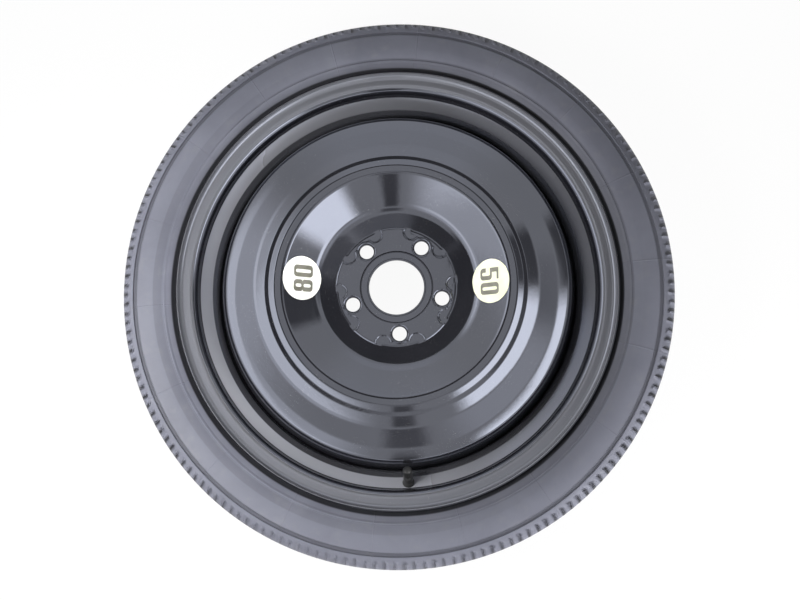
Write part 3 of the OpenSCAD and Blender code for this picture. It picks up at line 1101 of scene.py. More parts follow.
@dataclass
class PressedDisc:
    """Pressed steel disc with its hub pad, bolt seats, bowl, crown and outer ring.

    Attributes:
        rim: The rim that it is welded into.
        thickness: Of the sheet.
        bore_r: Radius of the hub bore.
        bolt_r: Radius of the bolt circle.
        bolt_turn: Angle of the lowest bolt hole in degrees.
    """

    rim: Rim
    thickness: float = 4.0
    bore_r: float = 31.7
    bolt_count: int = 5
    bolt_r: float = 54.0
    bolt_hole_r: float = 8.2
    bolt_seat_r: float = 10.0
    bolt_turn: float = -86.2
    collar_r: float = 42.2
    collar_groove_w: float = 1.7
    collar_groove_depth: float = 1.6
    pad_r: float = 68.0
    pad_h: float = 1.4
    ledge_h: float = 0.35
    lobe_h: float = 2.4
    scallop_r: float = 8.5
    scallop_turn: float = 17.0
    foot_r: float = 68.5
    crown_r: float = 136.0
    crown_h: float = 36.5
    knee_out: float = 23.5
    knee_up: float = 4.6
    wall_in: float = 9.0
    wall_down: float = 0.6
    groove_out: float = 7.0
    groove_down: float = 3.2
    step_out: float = 11.5
    step_down: float = 3.6
    slope_out: float = 24.5
    slope_down: float = 9.3
    ring_in: float = 15.5
    ring_up: float = 5.4
    shoulder_r: float = 198.5
    shoulder_h: float = 15.9
    flange_l: float = 18.0
    fit: float = 0.1
    edge: float = 0.5
    steps: int = 480

    @property
    def disc_r(self) -> float:
        """Outer radius of the flange pressed into the rim."""
        return self.rim.well_r - self.rim.thickness - self.fit

    @property
    def flange_z(self) -> float:
        """Height at which the flange becomes straight."""
        return self.rim.well_top - self.rim.offset - 5

    @property
    def knee(self) -> Point:
        """Where the bowl's gentle foot turns into its steep wall."""
        return (self.foot_r + self.knee_out, self.thickness + self.knee_up)

    @property
    def wall_top(self) -> Point:
        """Where the bowl's wall turns over towards the crown."""
        return (self.crown_r - self.wall_in, self.crown_h - self.wall_down)

    def corners(self, start_r: float, crown_bend: float, step_bend: float) -> list[Corner]:
        """Corners of the front of the sheet, without the pad.

        Args:
            start_r: Radius at which they start.
            crown_bend: Rounding of the crown.
            step_bend: Rounding of the step beyond its groove.

        Returns:
            The corners out to the flange's end.
        """
        return [
            (start_r, self.thickness, 0.0),
            (self.foot_r, self.thickness, 20.0),
            (*self.knee, 30.0),
            (*self.wall_top, 9.0),
            (self.crown_r, self.crown_h, crown_bend),
            (self.crown_r + self.groove_out, self.crown_h - self.groove_down, 4.0),
            (self.crown_r + self.step_out, self.crown_h - self.step_down, step_bend),
            (self.crown_r + self.slope_out, self.crown_h - self.slope_down, 40.0),
            (self.shoulder_r - self.ring_in, self.shoulder_h + self.ring_up, 60.0),
            (self.shoulder_r, self.shoulder_h, 12.0),
            (self.disc_r, self.flange_z, 20.0),
            (self.disc_r, self.flange_z - self.flange_l, 0.0),
        ]

    def front_path(self) -> Outline:
        """The front of the sheet from the collar out to the flange's end, without the pad."""
        return rounded(self.corners(self.collar_r, 5.0, 4.0), 7)

    def face_path(self) -> Outline:
        """The whole front, from the bore out to the flange's end, with close points for the pad."""
        top = self.thickness
        groove_r = self.collar_r - self.collar_groove_w
        floor = top - self.collar_groove_depth
        line_r = self.bore_r + 1.7
        path = [(self.bore_r, top - self.edge), (self.bore_r + self.edge, top), (line_r, top),
                (line_r + 0.3, top - 0.5), (line_r + 0.6, top), (line_r + 0.7, top), (groove_r - 0.1, top),
                (groove_r, top), (groove_r + 0.65, floor), (self.collar_r - 0.65, floor),
                (self.collar_r, top)]
        reach = self.pad_r + self.lobe_h + 0.6 - self.collar_r
        count = round(reach / 0.55)
        close = [self.collar_r + 0.05 + reach * i / count for i in range(count + 1)]
        front = self.front_path()
        path += [(r, height_on(front, r)) for r in close]
        return path + [(r, z) for r, z in front if r > close[-1] + 0.3]

    def back_path(self) -> Outline:
        """The back of the sheet, from the flange's end in to the bore."""
        front = [(self.bore_r, self.thickness)] + rounded(self.corners(self.bore_r + 1, 8.0, 8.0), 4)
        return beside(front, self.thickness)[::-1]

    def lobe(self, angle: float) -> float:
        """How far the pad's edge stands out at an angle, in degrees, from 0 to 1."""
        step = 360 / self.bolt_count
        off = abs((angle - self.bolt_turn) % step - step / 2)
        return smooth_step(step / 4 - off, -1.4, 0.6)

    def pad_height(self, x: float, y: float) -> float:
        """Height of the hub pad above the plain sheet.

        Args:
            x: Place across the disc.
            y: Place up the disc.

        Returns:
            0 off the pad, the ledge's height beside the bolts and the pad's own height elsewhere.
        """
        r, angle = math.hypot(x, y), math.degrees(math.atan2(y, x))
        margin = self.pad_r + self.lobe_h * self.lobe(angle) - r
        step = 360 / self.bolt_count
        at = self.bolt_turn + round((angle - self.bolt_turn) / step) * step
        bolt = compass(at) * self.bolt_r
        bolt_gap = math.hypot(x - bolt.x, y - bolt.y)
        scallop_gap = 99.0
        for side in (-self.scallop_turn, self.scallop_turn):
            centre = compass(at + side) * (self.pad_r - 1.5)
            scallop_gap = min(scallop_gap, math.hypot(x - centre.x, y - centre.y) - self.scallop_r)
        if abs(angle - at) % 360 < self.scallop_turn or abs(angle - at) % 360 > 360 - self.scallop_turn:
            scallop_gap = min(scallop_gap, self.pad_r - 4.4 - r)
        inner = max(scallop_gap, 11.9 - bolt_gap)
        edge = min(max((margin + 0.6) / 2.6, 0.0), 1.0)
        ledge = self.ledge_h * smooth_step(margin, -0.3, 0.5)
        upper = (self.pad_h - self.ledge_h) * min(edge, smooth_step(inner, -0.2, 1.0))
        upper -= 0.7 * (1 - smooth_step(bolt_gap, 9.8, 10.7))
        waves = 0.03 * math.sin(x / 5.3 + 1.1) * math.sin(y / 6.1 + 0.4) + 0.02 * math.sin((x - y) / 4.1)
        return ledge + upper + waves * smooth_step(margin, 2.0, 5.0)

    def raise_pad(self, bm: bmesh.types.BMesh) -> None:
        """Lifts the hub's front to the shape of the pad."""
        for vert in bm.verts:
            r = math.hypot(vert.co.x, vert.co.y)
            if self.collar_r < r < self.pad_r + self.lobe_h + 0.7 and vert.co.z > self.thickness - 0.1:
                vert.co.z = max(vert.co.z, self.thickness + self.pad_height(vert.co.x, vert.co.y))

    def bolt_cutters(self) -> bmesh.types.BMesh:
        """The bolt holes with their conical seats, as one closed mesh for each bolt."""
        top = self.thickness + self.pad_h - 0.7
        cutter = lathe([
            (0, -2), (self.bolt_hole_r, -2), (self.bolt_hole_r, top - 1.0),
            (self.bolt_hole_r + 0.6, top - 0.15), (self.bolt_seat_r - 0.3, top),
            (self.bolt_seat_r - 0.25, top + 2), (0, top + 2),
        ], 64, closed=False)
        place = turned(self.bolt_turn) @ Matrix.Translation((self.bolt_r, 0, 0))
        bmesh.ops.transform(cutter, matrix=place, verts=cutter.verts)
        repeat_round(cutter, self.bolt_count)
        return cutter

    def build(self, paint: bpy.types.Material) -> None:
        """Makes the disc.

        Args:
            paint: Its material.
        """
        bm = lathe(self.face_path() + self.back_path(), self.steps)
        self.raise_pad(bm)
        bm = cut_away(bm, self.bolt_cutters())
        show(make_mesh(bm, "disc_shell", 34), [paint], Body.WHEEL, Slot.PAINT, "wheel_disc")


@dataclass
class Welds:
    """Rippled weld beads between the disc's flange and the rim.

    Attributes:
        disc: The disc that they hold.
        count: Number of beads.
        arc: Length of a bead in degrees.
        leg: Leg of the bead.
    """

    disc: PressedDisc
    count: int = 8
    arc: float = 16.0
    leg: float = 4.0
    steps: int = 40
    ripples: int = 14

    def build(self, paint: bpy.types.Material) -> None:
        """Makes the beads.

        Args:
            paint: Their material.
        """
        top = self.disc.flange_z - self.disc.flange_l - self.disc.fit
        corner = (self.disc.disc_r, top)
        bm = bmesh.new()
        section = trace(bm, [corner, (corner[0], top - self.leg)]
                        + arc((corner[0] - 0.15, top - 0.15), self.leg * 0.84, -100, -170, 5)
                        + [(corner[0] - self.leg, top)])
        start = bm.faces.new([v for v in section if isinstance(v, bmesh.types.BMVert)])
        bmesh.ops.transform(bm, matrix=turned(-self.arc / 2), verts=bm.verts)
        geometry = [start] + list(start.edges) + list(start.verts)
        spin(bm, geometry, math.radians(self.arc), self.steps)
        bmesh.ops.recalc_face_normals(bm, faces=bm.faces)
        for vert in bm.verts:
            along = math.degrees(math.atan2(vert.co.y, vert.co.x)) / self.arc + 0.5
            taper = min(1.0, 6 * min(along, 1 - along) + 0.35)
            ripple = 1 - 0.12 * (0.5 + 0.5 * math.sin(FULL_TURN * self.ripples * along))
            r = math.hypot(vert.co.x, vert.co.y)
            reach = (corner[0] - r) * taper * ripple
            scale = (corner[0] - reach) / r
            vert.co.x, vert.co.y = vert.co.x * scale, vert.co.y * scale
            vert.co.z = top - (top - vert.co.z) * taper * ripple
        repeat_round(bm, self.count)
        show(make_mesh(bm, "weld_beads", 60), [paint], Body.WHEEL, Slot.WELD, "disc_welds")


# Valve


@dataclass
class Valve:
    """Snap-in valve: rubber body, threaded brass stem and ribbed dust cap.

    Attributes:
        rim: The rim that it goes through.
        turn: Its angle round the wheel in degrees.
        height: From the hub side of the rim to the cap's top.
    """

    rim: Rim
    turn: float = -86.5
    hole_r: float = 5.75
    margin: float = 0.2
    height: float = 24.0
    foot_r: float = 6.8
    head_r: float = 9.3
    stem_r: float = 3.85
    neck_r: float = 4.8
    sleeve_r: float = 3.2
    chamber_r: float = 2.7
    air_r: float = 1.9
    cap_r: float = 5.2
    cap_l: float = 11.6
    cap_roof: float = 1.5
    seal_t: float = 0.9
    gap: float = 0.25
    fit: float = 0.1
    ribs: int = 16
    pitch: float = 0.8

    @property
    def cap_z(self) -> float:
        """Height of the cap's open end along the valve."""
        return self.height - self.cap_l

    @property
    def rubber_top(self) -> float:
        """Height of the rubber's end along the valve."""
        return self.cap_z - self.gap

    @property
    def stem_top(self) -> float:
        """Height of the stem's end along the valve."""
        return self.height - self.cap_roof - self.seal_t - self.gap

    @property
    def stem_bottom(self) -> float:
        """Height of the stem's inner end along the valve."""
        return -self.rim.thickness - 5.5

    def stand(self) -> Matrix:
        """Turns and moves a piece drawn about Z to the valve's place in the rim."""
        slope = math.radians(self.rim.slope)
        bend = self.rim.seat_bend * math.tan(math.radians(self.rim.slope - self.rim.seat_taper) / 2)
        drop = self.foot_r + self.margin + bend
        r = self.rim.seat_end[0] - math.sin(slope) * drop - self.rim.thickness * math.cos(slope)
        z = self.rim.seat_end[1] - math.cos(slope) * drop + self.rim.thickness * math.sin(slope)
        place = Matrix.Translation((r, 0, z - self.rim.offset))
        return turned(self.turn) @ place @ turned(self.rim.slope - 90, "Y")

    def rubber(self) -> bmesh.types.BMesh:
        """The rubber body, with its head inside the tyre and its tapered neck."""
        sheet_t, top = self.rim.thickness, self.rubber_top
        bore = self.sleeve_r + self.fit
        return lathe(rounded([
            (bore, self.stem_bottom, 0.0),
            (self.head_r - 3.4, self.stem_bottom, 1.2),
            (self.head_r, -sheet_t - 2.4, 1.0),
            (self.head_r, -sheet_t - self.fit, 0.0),
            (self.hole_r - self.fit, -sheet_t - self.fit, 0.2),
            (self.hole_r - self.fit, self.fit, 0.2),
            (self.foot_r, self.fit, 0.0),
            (self.foot_r, 1.8, 0.9),
            (self.foot_r - 1.6, top * 0.4, 6.0),
            (self.neck_r + 0.5, top * 0.75, 8.0),
            (self.neck_r, top, 0.5),
            (bore, top, 0.0),
        ]), 72)

    def stem(self) -> bmesh.types.BMesh:
        """The brass stem, hollow, with its fine outside thread."""
        shoulder = self.rubber_top + self.fit
        rows = int((self.stem_top - shoulder - 0.8) / (self.pitch / 8))
        thread = [(self.stem_r, shoulder + 0.4 + self.pitch / 8 * i) for i in range(rows)]
        seat_z = self.stem_top - 8.5
        funnel = 2 * (self.chamber_r - self.air_r)
        bm = lathe(
            [(self.air_r, self.stem_bottom), (self.sleeve_r, self.stem_bottom), (self.sleeve_r, shoulder),
             (self.stem_r - 0.4, shoulder)] + thread
            + [(self.stem_r - 0.5, self.stem_top), (self.chamber_r + 0.3, self.stem_top),
               (self.chamber_r, self.stem_top - 0.3), (self.chamber_r, seat_z),
               (self.air_r, seat_z - funnel)],
            64)
        for vert in bm.verts:
            r = math.hypot(vert.co.x, vert.co.y)
            if r > self.stem_r - 0.02:
                phase = vert.co.z / self.pitch - math.atan2(vert.co.y, vert.co.x) / FULL_TURN
                draw_in(vert, 0.42 * abs(2 * (phase % 1) - 1))
        return bm

    def cap(self) -> bmesh.types.BMesh:
        """The dust cap, hollow, with ribs for the fingers."""
        inner_r, start = self.stem_r + self.gap, self.cap_z
        rib_top = self.height - 3.2
        outer = rounded([
            (inner_r, start, 0.0),
            (self.cap_r - 0.05, start, 0.35),
            (self.cap_r, start + 1.2, 0.0),
            (self.cap_r, rib_top - 0.4, 0.0),
            (self.cap_r, rib_top, 0.0),
            (self.cap_r - 0.1, self.height - 2.2, 1.0),
            (self.cap_r - 1.5, self.height - 0.1, 1.6),
            (self.cap_r - 3.6, self.height, 2.0),
            (0.0, self.height, 0.0),
        ], 4)
        roof = self.height - self.cap_roof
        bm = lathe(outer + [(0.0, roof), (inner_r, roof)], self.ribs * 8)
        for vert in bm.verts:
            r = math.hypot(vert.co.x, vert.co.y)
            if r > self.cap_r - 0.02 and start + 0.9 < vert.co.z < rib_top + 0.01:
                wave = 0.5 + 0.5 * math.cos(self.ribs * math.atan2(vert.co.y, vert.co.x))
                draw_in(vert, 0.32 * wave**3)
        return bm

    def build(
        self, rubber: bpy.types.Material, brass: bpy.types.Material, plastic: bpy.types.Material
    ) -> None:
        """Makes the three pieces.

        Args:
            rubber: Material of the body.
            brass: Material of the stem.
            plastic: Material of the cap.
        """
        pieces = (
            (self.rubber(), "valve_rubber_body", rubber, Body.WHEEL, Slot.VALVE, "valve_body"),
            (self.stem(), "valve_stem_threaded", brass, Body.WHEEL, Slot.BRASS, "valve_stem"),
            (self.cap(), "dust_cap", plastic, Body.CAP, Slot.CAP, "valve_cap"),
        )
        for bm, name, material, body, slot, node in pieces:
            bmesh.ops.transform(bm, matrix=self.stand(), verts=bm.verts)
            show(make_mesh(bm, name, 40), [material], body, slot, node)


# Labels


@dataclass
class Label:
    """Round label on the bowl, with two plain numerals.

    Attributes:
        disc: The disc that it is stuck to.
        node: Name of the solid that it replaces.
        text: Its numerals.
        turn: Its angle round the wheel in degrees.
        top_turn: Angle in degrees at which the numerals' tops point.
        radius: Of the label.
        at_r: Radius of its middle on the wheel.
    """

    disc: PressedDisc
    node: str
    text: str
    turn: float
    top_turn: float
    radius: float = 25.0
    at_r: float = 107.0
    film_t: float = 0.3
    ink_t: float = 0.05
    sink: float = 1.5
    digit_h: float = 24.6
    digit_w: float = 13.6
    digit_gap: float = 3.0
    side_w: float = 4.9
    end_w: float = 2.6

    def ground(self, x: float, y: float, lift: float) -> Vector:
        """A point above the bowl.

        Args:
            x: Place across the label, from its middle.
            y: Place up the label, where up is the numerals' top.
            lift: Height above the bowl's face.

        Returns:
            The point in the wheel's frame.
        """
        path = self.disc.front_path()
        up = Matrix.Rotation(math.radians(self.top_turn - 90), 2) @ Vector((x, y))
        out = compass(self.turn)
        along = up.dot(out) * math.cos(self.bowl_slope())
        across = out.x * up.y - out.y * up.x
        flat = out * (self.at_r + along) + Vector((-out.y, out.x)) * across
        r = flat.length
        lift_z = lift / math.cos(self.bowl_slope())
        return Vector((flat.x, flat.y, height_on(path, r) + lift_z))

    def bowl_slope(self) -> float:
        """Slope of the bowl's wall in radians."""
        (foot_r, foot_z), (top_r, top_z) = self.disc.knee, self.disc.wall_top
        return math.atan2(top_z - foot_z, top_r - foot_r)

    def film(self) -> bmesh.types.BMesh:
        """The label's film, curved to the bowl."""
        rings = 16
        bm = bmesh.new()
        spoke = [(self.radius * i / rings, 0) for i in range(rings + 1)]
        section = trace(bm, spoke, closed=False)
        spin(bm, section, FULL_TURN, 96, use_merge=True)
        bmesh.ops.remove_doubles(bm, verts=bm.verts, dist=1e-4)
        self.thicken(bm, self.disc.fit, self.disc.fit + self.film_t)
        return bm

    def thicken(self, bm: bmesh.types.BMesh, low: float, high: float) -> None:
        """Lays a flat mesh on the bowl and gives it a thickness.

        Args:
            bm: Flat mesh, drawn in the label's own plane.
            low: Height of its underside above the bowl.
            high: Height of its face above the bowl.
        """
        lower = list(bm.verts)
        raised = bmesh.ops.extrude_face_region(bm, geom=list(bm.faces), use_keep_orig=True)["geom"]
        upper = {v for v in raised if isinstance(v, bmesh.types.BMVert)}
        for vert in lower:
            vert.co = self.ground(vert.co.x, vert.co.y, low)
        for vert in upper:
            vert.co = self.ground(vert.co.x, vert.co.y, high)

    def ring(self, low: float, high: float, bends: Point, bars: Point) -> tuple[list[Corner], list[Corner]]:
        """One closed loop of a numeral.

        Args:
            low: Height of its lower edge.
            high: Height of its upper edge.
            bends: Rounding of its lower and upper outer corners.
            bars: Width of its lower and upper strokes.

        Returns:
            The corners of its outer and inner edge, both starting at the top.
        """
        w, side = self.digit_w, self.side_w
        hole = w / 2 - side - 0.05
        outer = [(w / 2, high, 0.0), (w, high, bends[1]), (w, low, bends[0]), (0.0, low, bends[0]),
                 (0.0, high, bends[1]), (w / 2, high, 0.0)]
        top, bottom = high - bars[1], low + bars[0]
        inner = [(w / 2, top, 0.0), (w - side, top, hole), (w - side, bottom, hole), (side, bottom, hole),
                 (side, top, hole), (w / 2, top, 0.0)]
        return outer, inner

    def strokes(self, digit: str) -> list[tuple[list[Corner], list[Corner]]]:
        """The strokes of a numeral, each as its two edges.

        Args:
            digit: 0, 5 or 8.

        Returns:
            Pairs of edges whose corners match.
        """
        w, h, side, end = self.digit_w, self.digit_h, self.side_w, self.end_w
        if digit == "0":
            return [self.ring(0, h, (4.0, 4.0), (end, end))]
        if digit == "8":
            waist = h * 0.54
            return [self.ring(0, waist, (4.0, 2.4), (end, 1.4)), self.ring(waist, h, (2.4, 4.0), (1.4, end))]
        shelf, under, hook = h * 0.64, h * 0.53, h * 0.31
        left = [(w - 0.6, h, 0.0), (0.0, h, 0.5), (0.0, under, 0.5), (w - side, under, 1.6),
                (w - side, end, 1.6), (side, end, 1.6), (side, hook, 0.0)]
        right = [(w - 0.6, h - end, 0.0), (side, h - end, 0.5), (side, shelf, 0.5), (w, shelf, 4.0),
                 (w, 0.0, 4.0), (0.0, 0.0, 4.0), (0.0, hook, 0.0)]
        return [(left, right)]

    def draw(self, bm: bmesh.types.BMesh, edges: tuple[list[Corner], list[Corner]], move: Point) -> None:
        """Draws one stroke as a fine grid in the label's own plane.

        Args:
            bm: Mesh to draw in.
            edges: The stroke's two edges.
            move: Where the numeral's lower left corner goes.
        """
        rails: tuple[Outline, Outline] = ([], [])
        pairs = list(zip(rounded(edges[0], 5), rounded(edges[1], 5)))
        for one, other in zip(pairs, pairs[1:]):
            count = max(1, math.ceil(max(math.dist(one[0], other[0]), math.dist(one[1], other[1])) / 1.6))
            for k in range(count):
                for rail, a, b in zip(rails, one, other):
                    rail.append((a[0] + (b[0] - a[0]) * k / count, a[1] + (b[1] - a[1]) * k / count))
        for rail, point in zip(rails, pairs[-1]):
            rail.append(point)
        length = len(rails[0]) - 1
        grid = bmesh.ops.create_grid(bm, x_segments=length, y_segments=3, size=0.5)["verts"]
        for vert in grid:
            step, share = round((vert.co.x + 0.5) * length), vert.co.y + 0.5
            a, b = rails[0][step], rails[1][step]
            vert.co = (a[0] + (b[0] - a[0]) * share + move[0], a[1] + (b[1] - a[1]) * share + move[1], 0)

    def ink(self) -> bmesh.types.BMesh:
        """The numerals, as thin shapes that lie on the film."""
        bm = bmesh.new()
        start = -(len(self.text) * (self.digit_w + self.digit_gap) - self.digit_gap) / 2
        for number, digit in enumerate(self.text):
            move = (start + number * (self.digit_w + self.digit_gap), -self.digit_h / 2 - self.sink)
            for edges in self.strokes(digit):
                self.draw(bm, edges, move)
        bmesh.ops.remove_doubles(bm, verts=bm.verts, dist=1e-3)
        bmesh.ops.dissolve_degenerate(bm, edges=bm.edges, dist=1e-4)
        top = self.disc.fit + self.film_t
        self.thicken(bm, top - self.ink_t, top + self.ink_t)
        for face in bm.faces:
            face.material_index = 1
        return bm

    def build(self, film: bpy.types.Material, ink: bpy.types.Material) -> None:
        """Makes the label with its numerals.

        Args:
            film: Material of the film.
            ink: Material of the numerals.
        """
        bm = self.film()
        merge_in(bm, self.ink())
        show(make_mesh(bm, f"{self.node}_film", 40), [film, ink], Body.WHEEL, Slot.LABEL, self.node)


# Studio


@dataclass(frozen=True)
class Card:
    """A patch of the studio that shows in the paint's reflections only.

    Attributes:
        turn: Angles round the wheel between which it stands, in degrees.
        zenith: Angles from straight up between which it hangs, in degrees.
        level: How bright it is, where 1 is white.
        edge: Share of its width over which it fades out.
        lean: How far it is moved across the sky, in degrees along X and Y.
    """

    turn: Point
    zenith: Point
    level: float
    edge: float = 0.2
    lean: Point = (0.0, 0.0)


@dataclass(frozen=True)
class Lamp:
    """A soft square lamp that points at the wheel.

    Attributes:
        name: Its name.
        place: Where it hangs, in metres.
        size: Length of its side in metres.
        watts: Its power.
    """

    name: str
    place: Corner
    size: float
    watts: float

    def hang(self) -> None:
        """Hangs the lamp where no reflection shows it."""
        data = bpy.data.lights.new(self.name, "AREA")
        data.size = self.size
        data.energy = self.watts
        lamp = put_in_scene(data)
        lamp.location = self.place
        lamp.rotation_euler = (-Vector(self.place)).to_track_quat("-Z", "Y").to_euler()
        lamp.visible_glossy = False
        lamp.visible_camera = False


@dataclass
class Studio:
    """Pale floor, white surroundings, soft lamps, reflection cards and the camera.

    Attributes:
        floor_z: Height of the floor.
        cards: Patches that the paint reflects.
        lamps: The lamps.
        ambient: Strength of the plain light from all sides.
        card_r: Distance of the nearest card from the origin.
        floor_size: Half the length of the floor's side.
        floor_white: Share of plain white in how the floor looks.
        lens: Focal length of the camera in millimetres.
        tilts: The camera's tilts about X and Y in degrees.
        eye: Place of the camera, before it is tilted.
        aim_z: Height that the camera is tilted about.
    """

    floor_z: float
    cards: Sequence[Card]
    lamps: Sequence[Lamp]
    ambient: float = 0.24
    card_r: float = 4.0
    floor_size: float = 6.0
    floor_white: float = 0.94
    lens: float = 38.25
    tilts: Point = (-7.8, -2.17)
    eye: Corner = (0.00275, -0.0102, 1.013)
    aim_z: float = -0.030

    def glow(self, tree: bpy.types.NodeTree, kind: str, colour: Colour, strength: float) -> bpy.types.Node:
        """A node that gives off light.

        Args:
            tree: The tree to add to.
            kind: Blender's name for the node.
            colour: Its colour.
            strength: Its strength.

        Returns:
            The new node.
        """
        node = tree.nodes.new(kind)
        node.inputs[0].default_value = colour
        node.inputs[1].default_value = strength
        return node

    def split(self, tree: bpy.types.NodeTree, rays: Sequence[str], share: float, plain: bpy.types.Node,
              white: bpy.types.Node, output: str) -> None:
        """Shows one shader to some kinds of ray and another to the rest.

        Args:
            tree: The tree to add to.
            rays: The kinds of ray that see white.
            share: Share of white that they see.
            plain: Shader that lights the wheel.
            white: Shader that they see.
            output: Blender's name for the output node.
        """
        path = tree.nodes.new("ShaderNodeLightPath")
        seen = path.outputs[rays[0]]
        for ray in rays[1:]:
            either = tree.nodes.new("ShaderNodeMath")
            either.operation = "MAXIMUM"
            tree.links.new(seen, either.inputs[0])
            tree.links.new(path.outputs[ray], either.inputs[1])
            seen = either.outputs[0]
        part = tree.nodes.new("ShaderNodeMath")
        part.operation = "MULTIPLY"
        part.inputs[1].default_value = share
        tree.links.new(seen, part.inputs[0])
        mix = tree.nodes.new("ShaderNodeMixShader")
        for number, node in enumerate((part, plain, white)):
            tree.links.new(node.outputs[0], mix.inputs[number])
        tree.links.new(mix.outputs[0], tree.nodes.new(output).inputs[0])

    def world(self) -> None:
        """White for the camera and reflections, and a plain ambient light for the rest."""
        world = bpy.data.worlds.new("surroundings")
        bpy.context.scene.world = world
        world.use_nodes = True
        tree = world.node_tree
        tree.nodes.clear()
        rays = ("Is Camera Ray", "Is Glossy Ray", "Is Transmission Ray")
        light = self.glow(tree, "ShaderNodeBackground", WHITE, self.ambient)
        white = self.glow(tree, "ShaderNodeBackground", WHITE, 1.0)
        self.split(tree, rays, 1.0, light, white, "ShaderNodeOutputWorld")

    def floor(self) -> None:
        """A wide pale floor that looks white and keeps a faint shadow."""
        bm = bmesh.new()
        bmesh.ops.create_grid(bm, x_segments=1, y_segments=1, size=self.floor_size)
        bmesh.ops.translate(bm, vec=(0, 0, self.floor_z), verts=bm.verts)
        mesh = as_mesh(bm, "floor")
        material = bpy.data.materials.new("pale_floor")
        material.use_nodes = True
        tree = material.node_tree
        tree.nodes.clear()
        matt = tree.nodes.new("ShaderNodeBsdfDiffuse")
        matt.inputs[0].default_value = (0.8, 0.8, 0.8, 1)
        white = self.glow(tree, "ShaderNodeEmission", WHITE, 1.0)
        rays = ("Is Camera Ray", "Is Glossy Ray")
        self.split(tree, rays, self.floor_white, matt, white, "ShaderNodeOutputMaterial")
        mesh.materials.append(material)
        put_in_scene(mesh)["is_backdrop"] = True

    def card_material(self, card: Card, number: int) -> bpy.types.Material:
        """A card's glow, which fades out towards its edges.

        Args:
            card: The card.
            number: Its place in the list.

        Returns:
            The new material.
        """
        nodes = NodeSheet(f"card_{number}")
        uv = nodes.tree.nodes.new("ShaderNodeTexCoord").outputs["UV"]
        u, v, _ = nodes.parts(uv)
        fade = None
        for axis in (u, v):
            inner = nodes.math("SUBTRACT", 0.5, nodes.math("ABSOLUTE", nodes.math("SUBTRACT", axis, 0.5)))
            soft = nodes.span(inner, 0.0, card.edge, smooth=True)
            fade = nodes.math("MULTIPLY", fade, soft) if fade else soft
        glow = self.glow(nodes.tree, "ShaderNodeEmission", COOL_WHITE, card.level)
        clear = nodes.tree.nodes.new("ShaderNodeBsdfTransparent")
        mix = nodes.tree.nodes.new("ShaderNodeMixShader")
        nodes.plug(mix, 0, fade)
        nodes.plug(mix, 1, clear.outputs[0])
        nodes.plug(mix, 2, glow.outputs[0])
        nodes.plug(nodes.output, 0, mix.outputs[0])
        return nodes.material

    def hang(self, card: Card, number: int) -> None:
        """Hangs a card round the wheel.

        Args:
            card: The card.
            number: Its place in the list.
        """
        bm = bmesh.new()
        layer = bm.loops.layers.uv.new("UVMap")
        grid = bmesh.ops.create_grid(bm, x_segments=32, y_segments=12, size=0.5)["verts"]
        for face in bm.faces:
            for loop in face.loops:
                loop[layer].uv = (loop.vert.co.x + 0.5, loop.vert.co.y + 0.5)
        radius = self.card_r + 0.03 * number
        for vert in grid:
            turn = card.turn[0] + (card.turn[1] - card.turn[0]) * (vert.co.x + 0.5)
            fall = card.zenith[0] + (card.zenith[1] - card.zenith[0]) * (vert.co.y + 0.5)
            across = compass(turn) * fall + Vector(card.lean)
            fall = math.radians(across.length)
            across = across.normalized() * math.sin(fall)
            vert.co = Vector((across.x, across.y, math.cos(fall))) * radius
        bmesh.ops.remove_doubles(bm, verts=bm.verts, dist=1e-5)
        mesh = as_mesh(bm, f"card_{number}")
        mesh.materials.append(self.card_material(card, number))
        obj = put_in_scene(mesh)
        for ray in ("camera", "diffuse", "shadow", "transmission", "volume_scatter"):
            setattr(obj, f"visible_{ray}", False)
        obj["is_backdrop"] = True

    def camera(self) -> None:
        """Puts the camera above the wheel, tilted as in the photograph."""
        data = bpy.data.cameras.new("camera")
        data.lens = self.lens
        camera = put_in_scene(data)
        tilt = turned(self.tilts[0], "X") @ turned(self.tilts[1], "Y")
        back = Matrix.Translation(self.eye)
        camera.matrix_world = Matrix.Translation((0, 0, self.aim_z)) @ tilt.inverted() @ back
        bpy.context.scene.camera = camera

    def build(self) -> None:
        """Sets up the whole studio."""
        bpy.context.scene.view_settings.view_transform = "Standard"
        self.world()
        self.floor()
        for number, card in enumerate(self.cards):
            self.hang(card, number)
        for lamp in self.lamps:
            lamp.hang()
        self.camera()


WHITE = (1, 1, 1, 1)
COOL_WHITE = (0.96, 0.97, 1.0, 1)

# Painted grey sheen on the rim, standing in for reflections, stronger towards the lamp at the left on the
# well and the slope: the well, the slope from the well to the bead seat, the flange
RIM_PAINTED_SHEEN = (
    (0.1980, 0.2155, 0.07, 0.12),
    (0.2155, 0.2268, 0.17, 1.0),
    (0.2325, 0.2485, 0.21, 0.20),
)

# Darker rings on the tyre, with their share on the right side and on the left side: painted shade in the gap
# beside the rim, painted shade on the lower sidewall's right side, painted shade in the shallow hollow above
# its rib, painted shade on the upper sidewall's right side, the sunk band darker all round, and painted
# shade on the shoulder's right side
TYRE_RINGS = (
    (0.2, 0.2553, 0.97, 0.97),
    (0.2553, 0.2650, 0.50, 0.0),
    (0.2650, 0.2745, 0.20, 0.18),
    (0.2745, 0.2929, 0.22, 0.0),
    (0.2929, 0.2979, 0.50, 0.50),
    (0.2979, 0.3400, 0.20, 0.0),
)

# How far the cards that the nearly flat rings reflect are moved across the sky
LEAN = (-6, 7)

